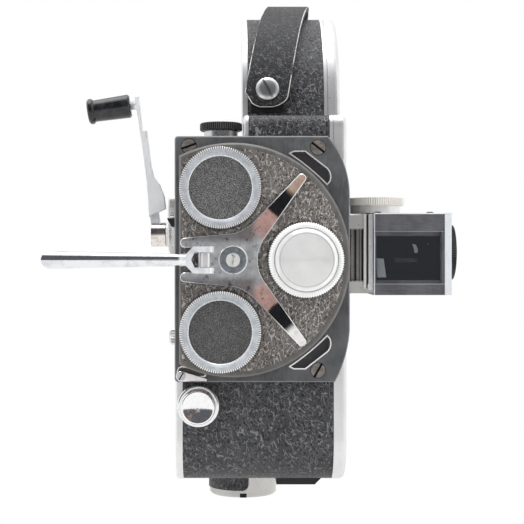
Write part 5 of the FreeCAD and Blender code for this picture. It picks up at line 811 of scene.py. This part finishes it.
figures("dial_figures", ("8", "12", "16", "24", "32", "48", "64"), 0.0026,
        faced("speed_dial", *LEFT_FACE, -0.00057), 0.0083, -135, 45, white_paint, "speed_dial_body")
ticks("dial_ticks", faced("speed_dial", *LEFT_FACE, 0.0), 0.0109, 36, (0.00016, 0.0007, 0.00006), 350.0,
      black_paint, "speed_dial_body")

INDEX_FIN = [(-0.0279, 0.119), (-0.0279, 0.1227), (-0.0317, 0.1227), (-0.0312, 0.1216), (-0.0299, 0.1193)]
INDEX_STRIP = [(-0.0279, 0.111), (-0.0279, 0.1189), (-0.0298, 0.1189), (-0.0299, 0.1112)]
index_black = black_metal("index_black", rgb(26, 26, 28), rgb(70, 70, 72), 0.34)
plate("dial_index", INDEX_FIN, -0.056, 0.0045, index_black, "camera_body")
plate("dial_strip", INDEX_STRIP, -0.0565, 0.004, bright_trim, "camera_body")

# The small side knob and the exposure lever are plated steel; the footage counter is a white disc
# with black figures behind flat glass in a turned rim.
wear(chrome("knob_chrome", rgb(236, 236, 234), rgb(184, 182, 180), 0.18), "side_knob")
wear(chrome("side_lever_chrome", rgb(240, 240, 238), rgb(196, 195, 193), 0.14), "side_lever")
wear(glass("counter_pane", rgb(240, 244, 242)), "counter_glass")
wear(black_metal("counter_enamel", rgb(226, 224, 216), rgb(206, 203, 192), 0.4, 900.0), "counter_disc")
face = faced("counter_disc", *LEFT_FACE, 0.00003)
figures("counter_figures", [str(i * 10) for i in range(10)], 0.0021, face, 0.0059, 0, 36, black_paint, "counter_body")
ticks("counter_ticks", face, 0.0079, 50, (0.00012, 0.0008, 0.00004), 352.8, black_paint, "counter_body")
shape = bmesh.new()
lathe(shape, [(0.0, 0.0099), (0.0009, 0.0099), (0.0011, 0.0096), (0.0011, 0.0091), (0.0006, 0.0089), (0.0, 0.0089)],
      Vector((-0.0278, *middle("counter_glass")[1:])), -RIGHT, 72, True)
piece("counter_rim", shape, bright_trim, "camera_body", True)

# The door's lock knob is a plated wing that turns a bar behind the door.
wear(chrome("lock_knob_chrome", rgb(236, 236, 234), rgb(190, 189, 187), 0.16), "door_lock")

# The finder hangs on the door by a cast bracket with a rack bar. The bracket is bare metal, its rails
# rubbed bright, with painted shade in the grooves between them on its front.
RACK_GROOVES = ((0.044, 0.0451), (0.0461, 0.0467), (0.0481, 0.0486), (0.0494, 0.0503))
bracket_metal = cast_metal("bracket_metal", rgb(176, 175, 172), rgb(128, 126, 122), 0.24, 0.7)
shader, place = basis(bracket_metal)
x, y, z = place.parts()
rails = z.above(0.1184, 0.1187) + z.below(0.0964, 0.0967)
front = y.below(-0.044, -0.043) * (1.0 - rails)
groove_shade = 0.0
for left, right in RACK_GROOVES:
    groove_shade = x.above(left, left + 0.0001) * x.below(right - 0.0001, right) + groove_shade
cast = Wire(place.tree, shader.inputs["Base Color"].links[0].from_socket)
plain = rails.mix(cast, rgb(216, 215, 212))
# groove_shade: painted shade in the rack's grooves.
drive(shader, Base_Color=(groove_shade * front * 0.8).mix(plain, rgb(52, 51, 50)))
wear(bracket_metal, "finder_bracket")

# The finder's housing is painted dark grey between two satin aluminium plates. Its top edge is painted
# near-white as a highlight, the paint is worn off at the plates' seams, and the tunnel behind the window
# is a dull dark brown.
FINDER_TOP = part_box("finder_body")[1].z
UPPER_SEAM, LOWER_SEAM = 0.1174, 0.0955
made, shader, place = surface("finder_paint")
x, y, z = place.parts()
inside = (x.above(0.0552, 0.0554) * x.below(0.0822, 0.0824) * z.above(0.0966, 0.0968)
          * z.below(0.116, 0.1162) * y.above(-0.047, -0.0468))
cloud = place.noise(150.0, 4.0, 0.6)
fine = place.noise(2600.0, 3.0, 0.65)
streak = (place * (0.12, 1.0, 1.0)).noise(1300.0, 3.0, 0.6)
chip = place.noise(620.0, 4.0, 0.75).above(0.7, 0.74)
face = (cloud * 0.5 + streak * 0.35 + fine * 0.15).above(0.36, 0.62).mix(rgb(74, 74, 77), rgb(98, 98, 102))
seams = z.line(UPPER_SEAM, 0.35) * x.below(0.083, 0.0832) + z.line(LOWER_SEAM, 0.35)
# The near-white line along the top edge is a painted highlight.
face = (z.above(0.12455, 0.1247) + seams).put("MINIMUM", 1.0).mix(face, rgb(226, 226, 226))
drive(shader, Base_Color=inside.mix((chip * 0.4).mix(face, rgb(168, 166, 164)), rgb(62, 59, 57)),
      Roughness=0.36 + fine * 0.12 + inside * 0.4, Normal=(fine + streak * 0.5 - chip * 0.6).bump(0.25, 0.00003))
wear(made, "finder_body")

wear(glass("finder_pane", rgb(226, 230, 234), 0.9), "finder_glass")
wear(cast_metal("trim_metal", rgb(244, 247, 250), rgb(220, 224, 228), 0.26, 0.3), "finder_trims")

# Behind the window: the parallax mask's bright slip, the back lens with a pale edge, and its grey bar.
mask_paint = black_metal("mask_paint", rgb(236, 236, 230), rgb(222, 222, 216), 0.5, 1800.0)
bar_paint = black_metal("bar_paint", rgb(112, 115, 116), rgb(124, 127, 128), 0.5)
SLIP = [(0.0555, 0.1064), (0.0586, 0.106), (0.0597, 0.0982), (0.05585, 0.0982)]
LENS_EDGE = [(0.0707, 0.1122), (0.0722, 0.112), (0.0731, 0.11), (0.0731, 0.1085), (0.0717, 0.1084),
             (0.0713, 0.1105)]
BAR = [(0.0631, 0.1064), (0.0729, 0.1064), (0.0728, 0.1047), (0.0636, 0.1044)]
plate("parallax_slip", SLIP, -0.0464, 0.0002, mask_paint, "door")
plate("lens_edge", LENS_EDGE, -0.0455, 0.0002, mask_paint, "door")
plate("mask_bar", BAR, -0.045, 0.0002, bar_paint, "door")

# A thin brown sheet closes the tunnel before the eyepiece as painted shade, so the finder shows dark
# through its window.
STOP = [(0.0599, 0.0994), (0.0782, 0.0994), (0.0782, 0.1136), (0.0599, 0.1136)]
shade_sheet_brown = black_metal("shade_sheet_brown", rgb(84, 76, 70), rgb(112, 102, 94), 0.5)
plate("eyepiece_shade_sheet", STOP, 0.03, 0.0004, shade_sheet_brown, "door")

# The finder's side plate is folded twice: its two bright edges stand before the bracket, a black strip
# of painted shade in the gap between them, and a solder blob fills the lower corner.
CORNER_TURNS = (0.0, 0.52, 1.05, 1.57)


def strip(shape, left, right, low, high, face, thick, corner):
    """Adds an upright plate with rounded top corners."""
    cuts = [(corner * (1 - math.cos(t)), high - corner * (1 - math.sin(t))) for t in CORNER_TURNS]
    outline = [(left, low)] + [(left + x, z) for x, z in cuts]
    outline += [(right - x, z) for x, z in cuts[::-1]] + [(right, low)]
    tile(shape, outline, face, thick)


shape = bmesh.new()
strip(shape, 0.05, 0.0511, 0.0936, 0.1248, -0.0487, 0.0007, 0.0005)
strip(shape, 0.052, 0.0538, 0.093, 0.1248, -0.049, 0.001, 0.0008)
strip(shape, 0.0516, 0.0534, 0.0932, 0.0956, -0.0493, 0.0013, 0.0006)
piece("finder_side_plate", shape, bright_trim, "door")
shape = bmesh.new()
strip(shape, 0.051, 0.0521, 0.0936, 0.1244, -0.0483, 0.0003, 0.0003)
piece("side_plate_gap_shade", shape, black_paint, "door")

# Two cheese-head screws hold the finder's top plate.
screw_metal = cast_metal("finder_screw", rgb(132, 130, 128), rgb(84, 82, 80), 0.3)
shape = bmesh.new()
for x in (0.0561, 0.078):
    lathe(shape, [(-0.0004, 0.0014), (0.0004, 0.0014), (0.0006, 0.0012), (0.00065, 0.0006)],
          Vector((x, -0.0462, FINDER_TOP)), UP, 28)
piece("finder_screws", shape, screw_metal, "door", True)

# On the finder's side a black correction knob, on its top the distance dial: a plated drum under a
# knurled ring of pale metal, engraved with its distances.
wear(black_grip("finder_knob_black", middle("finder_knob"), 0, 0.0116, rgb(104, 104, 106)), "finder_knob")
made, shader, place = surface("dial_pale", Metallic=0.3)
x, y, z = (place - middle("finder_dial")).parts()
reach = off_axis(x, y)
grain = place.noise(3000.0, 4.0, 0.65)
cloud = place.noise(240.0, 3.0, 0.6)
edge = reach.above(0.0119, 0.0121) * z.above(-0.0001, 0.0001)
drum = z.below(-0.0001, 0.0001)
tone = (grain * 0.5 + cloud * 0.5).above(0.38, 0.62).mix(rgb(222, 218, 206), rgb(240, 236, 226))
tone = (edge * 0.5).mix(tone, rgb(248, 246, 240))
drive(shader, Base_Color=(drum * 0.6).mix(tone, rgb(244, 246, 250)), Roughness=0.3 + grain * 0.14 - drum * 0.14,
      Normal=grain.bump(0.3, 0.00002))
wear(made, "finder_dial")
face = faced("finder_dial", RIGHT, BACK, UP, 0.00003)
figures("distance_figures", ("2", "3", "4", "6", "10", "20", "50"), 0.003, face, 0.0085, 0, 45, black_paint,
        "finder_dial_body")
ticks("distance_ticks", face, 0.0112, 28, (0.0002, 0.0011, 0.00004), 315.0, black_paint, "finder_dial_body")

# The carrying strap is one band of thick grained leather, skived at its ends and screwed to two
# lugs painted black as the shade under it. Its corners are rounded over, and its cut edges carry a broken
# painted highlight. The CAD strap gives its path.
wear(black_metal("lug_shade_black", rgb(28, 28, 29), rgb(52, 52, 53)), "strap_lugs")
STRAP_SCREW = (0.0104, 0.1796)
made, shader, place = surface("strap_screw_steel", Metallic=0.75)
x, y, z = place.parts()
turn_in = (y - middle("strap_screws")[1]).put("ABSOLUTE")
reach = off_axis(x - STRAP_SCREW[0], z - STRAP_SCREW[1])
grain = place.noise(3400.0, 3.0, 0.6)
# A dark blue-grey centre on each head is a painted reflection.
painted_dark_reflection = reach.above(0.003, 0.0046, 1.0, 0.15) * turn_in.above(0.052, 0.0525)
drive(shader, Base_Color=(painted_dark_reflection * (grain * 0.3 + 0.7)).mix(rgb(246, 246, 244), rgb(92, 97, 101)),
      Roughness=0.2 + grain * 0.1 + painted_dark_reflection * 0.2, Normal=grain.bump(0.2, 0.00002))
wear(made, "strap_screws")
strap_face = leather("strap_skin", rgb(30, 30, 32), rgb(44, 44, 47), rgb(112, 112, 115), 600.0, 0.5, 0.00018)
# The cut edges' pale, broken by noise, is a painted highlight.
strap_edge, shader, place = surface("strap_edge", Roughness=0.5)
fray = place.noise(1300.0, 3.0, 0.7)
wear_and_highlight = (place.noise(110.0, 3.0) * 0.7 + fray * 0.3).above(0.4, 0.5)
drive(shader, Base_Color=wear_and_highlight.mix(rgb(62, 62, 63), rgb(222, 220, 216)), Normal=fray.bump(0.4, 0.00004))
cad_strap = nodes["handle_strap"]
shape = bmesh.new()
shape.from_mesh(cad_strap.data)
bmesh.ops.remove_doubles(shape, verts=shape.verts, dist=1e-6)
bmesh.ops.dissolve_limit(shape, angle_limit=math.radians(1.0), verts=shape.verts, edges=shape.edges)
rims = [edge for edge in shape.edges if edge.is_manifold and edge.calc_face_angle(0.0) > math.radians(50)]
bmesh.ops.bevel(shape, geom=rims, offset=0.00034, segments=1, affect="EDGES", profile=0.5, material=1)
strap = piece("strap", shape, strap_face, "camera_body", True)
strap.data.materials.append(strap_edge)
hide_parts("handle_strap")

# The stand: a pale sweep of paper under the camera, curved up behind it. Its white is in its own colour,
# so the lamps stay at a plain level.
FLOOR_HALF, FLOOR_WHITE = 6.0, 0.86
CURVE_Y, CURVE_R, CURVE_STEPS = 1.2, 0.8, 10
LENS_MM = 87.5
EYE = (-0.0041, -0.58, 0.1055)
EYE_SHIFT = (0.0534, -0.0038)


def seen_directly(start):
    """1 for rays that come from the eye, a gloss or clear glass, and 0 for the soft light between pieces."""
    eye, gloss, clear = [start.node("ShaderNodeLightPath", output="Is " + kind + " Ray")
                         for kind in ("Camera", "Glossy", "Transmission")]
    return eye.put("MAXIMUM", gloss).put("MAXIMUM", clear)


made, shader, place = surface("paper", Roughness=0.9)
drive(shader, Base_Color=place.noise(900.0).mix((FLOOR_WHITE - 0.01,) * 3 + (1,), (FLOOR_WHITE + 0.01,) * 3 + (1,)))
glow = place.node("ShaderNodeEmission", None, {"Strength": 1.0})
show(place, seen_directly(place), Wire(place.tree, shader.outputs[0]), glow)
shape = bmesh.new()
turns = [math.pi / 2 * step / CURVE_STEPS for step in range(1, CURVE_STEPS + 1)]
profile = [(-FLOOR_HALF, 0.0), (CURVE_Y, 0.0)]
profile += [(CURVE_Y + CURVE_R * math.sin(t), CURVE_R - CURVE_R * math.cos(t)) for t in turns]
profile += [(CURVE_Y + CURVE_R, FLOOR_HALF)]
rows = [[shape.verts.new((x, y, z)) for x in (-FLOOR_HALF, FLOOR_HALF)] for y, z in profile]
for low, high in zip(rows, rows[1:]):
    shape.faces.new((low[0], low[1], high[1], high[0])).smooth = True
sweep = placed("sweep", shape, made)


def screen(name, corners, y, material):
    """A flat upright card that shows in reflections and nowhere else."""
    shape = bmesh.new()
    shape.faces.new([shape.verts.new((x, y, z)) for x, z in corners])
    made = placed(name, shape, material)
    made.visible_camera = False
    made.visible_diffuse = False
    made.visible_shadow = False
    return made


def glowing(name):
    """A black material, whose tones come from its own light."""
    return surface(name, Roughness=1.0, Specular_IOR_Level=0.0, Base_Color=rgb(0, 0, 0), Emission_Strength=1.0)


# A large grey card with one warm patch hangs far before the camera, behind the point of view. It gives
# the polished pieces something dark to reflect.
CARD_HALF, CARD_Y, CARD_LOW, CARD_HIGH = 4.5, -2.2, 0.02, 4.0
made, shader, place = glowing("card_paint")
across = place.parts()[0]
warm = place.noise(1.6, 2.0).above(0.45, 0.6) * across.above(0.7, 0.9) * across.below(2.0, 2.4)
drive(shader, Emission_Color=warm.mix(rgb(92, 93, 98), rgb(168, 142, 128)))
corners = [(-CARD_HALF, CARD_LOW), (CARD_HALF, CARD_LOW), (CARD_HALF, CARD_HIGH), (-CARD_HALF, CARD_HIGH)]
card = screen("card", corners, CARD_Y, made)

# A small round board hangs close before the turret, in grey, rosy, black and pale tones, which the
# polished spider mirrors. BOARD_SPREAD is how much larger the board is than its mirror image.
BOARD_Y, BOARD_R = -0.6, 0.1
BOARD_SPREAD = 1 + (SPIDER_FACE - BOARD_Y) / (SPIDER_FACE - EYE[1])
made, shader, place = glowing("board_paint")
x, _, z = ((place - TURRET_AXIS) / BOARD_SPREAD).parts()
cloud = place.noise(127.0, 3.0, 0.6)
along = x * 0.62 + z.put("ABSOLUTE") * 0.78 + (cloud - 0.5) * 0.003
rosy = along.above(0.0115, 0.0165).mix(cloud.mix(rgb(120, 122, 125), rgb(206, 207, 208)), rgb(190, 154, 147))
dark = along.above(0.0236, 0.0242).mix(rosy, rgb(34, 35, 38))
tip = z.above(-0.001, 0.001).mix(rgb(250, 248, 245), rgb(192, 166, 150))
aside = x.above(0.011, 0.014) * z.put("ABSOLUTE").below(0.005, 0.008)
drive(shader, Emission_Color=aside.mix(along.above(0.0338, 0.0362).mix(dark, tip), rgb(60, 61, 64)))
board = screen("board", circle(TURRET_AXIS[0], TURRET_AXIS[2], BOARD_R, 48), BOARD_Y, made)

# The room's light is white and even, and brighter where it is seen directly. Three large soft lamps
# give the shapes, and only the top one shows in gloss.
DIRECT_LIGHT, SOFT_LIGHT = 1.0, 0.6
world = bpy.data.worlds.new("studio")
world.use_nodes = True
air = Wire(world.node_tree)
backdrop = world.node_tree.nodes["Background"]
backdrop.inputs["Color"].default_value = (0.97, 0.985, 1.0, 1)
bright = seen_directly(air) * (DIRECT_LIGHT - SOFT_LIGHT) + SOFT_LIGHT
world.node_tree.links.new(bright.socket, backdrop.inputs["Strength"])
bpy.context.scene.world = world

for name, spot, size, power in (
    ("left_soft", (-0.9, -0.7, 0.9), 0.9, 9.0),
    ("right_soft", (1.0, -0.6, 0.7), 0.8, 6.0),
    ("top_soft", (0.0, 0.1, 1.4), 1.0, 8.0),
):
    lamp = bpy.data.lights.new(name, "AREA")
    lamp.size = size
    lamp.energy = power
    holder = thing(name, lamp)
    holder.location = spot
    holder.visible_glossy = name == "top_soft"
    holder.rotation_euler = (Vector((0, 0, 0.1)) - Vector(spot)).to_track_quat("-Z", "Y").to_euler()

lens = bpy.data.cameras.new("photo_view")
lens.lens = LENS_MM
lens.sensor_width = 36.0
lens.shift_x, lens.shift_y = EYE_SHIFT
lens.clip_start = 0.01
eye = thing("photo_view", lens)
eye.location = EYE
eye.rotation_euler = (math.pi / 2, 0, 0)
bpy.context.scene.camera = eye
bpy.context.scene.view_settings.view_transform = "Standard"
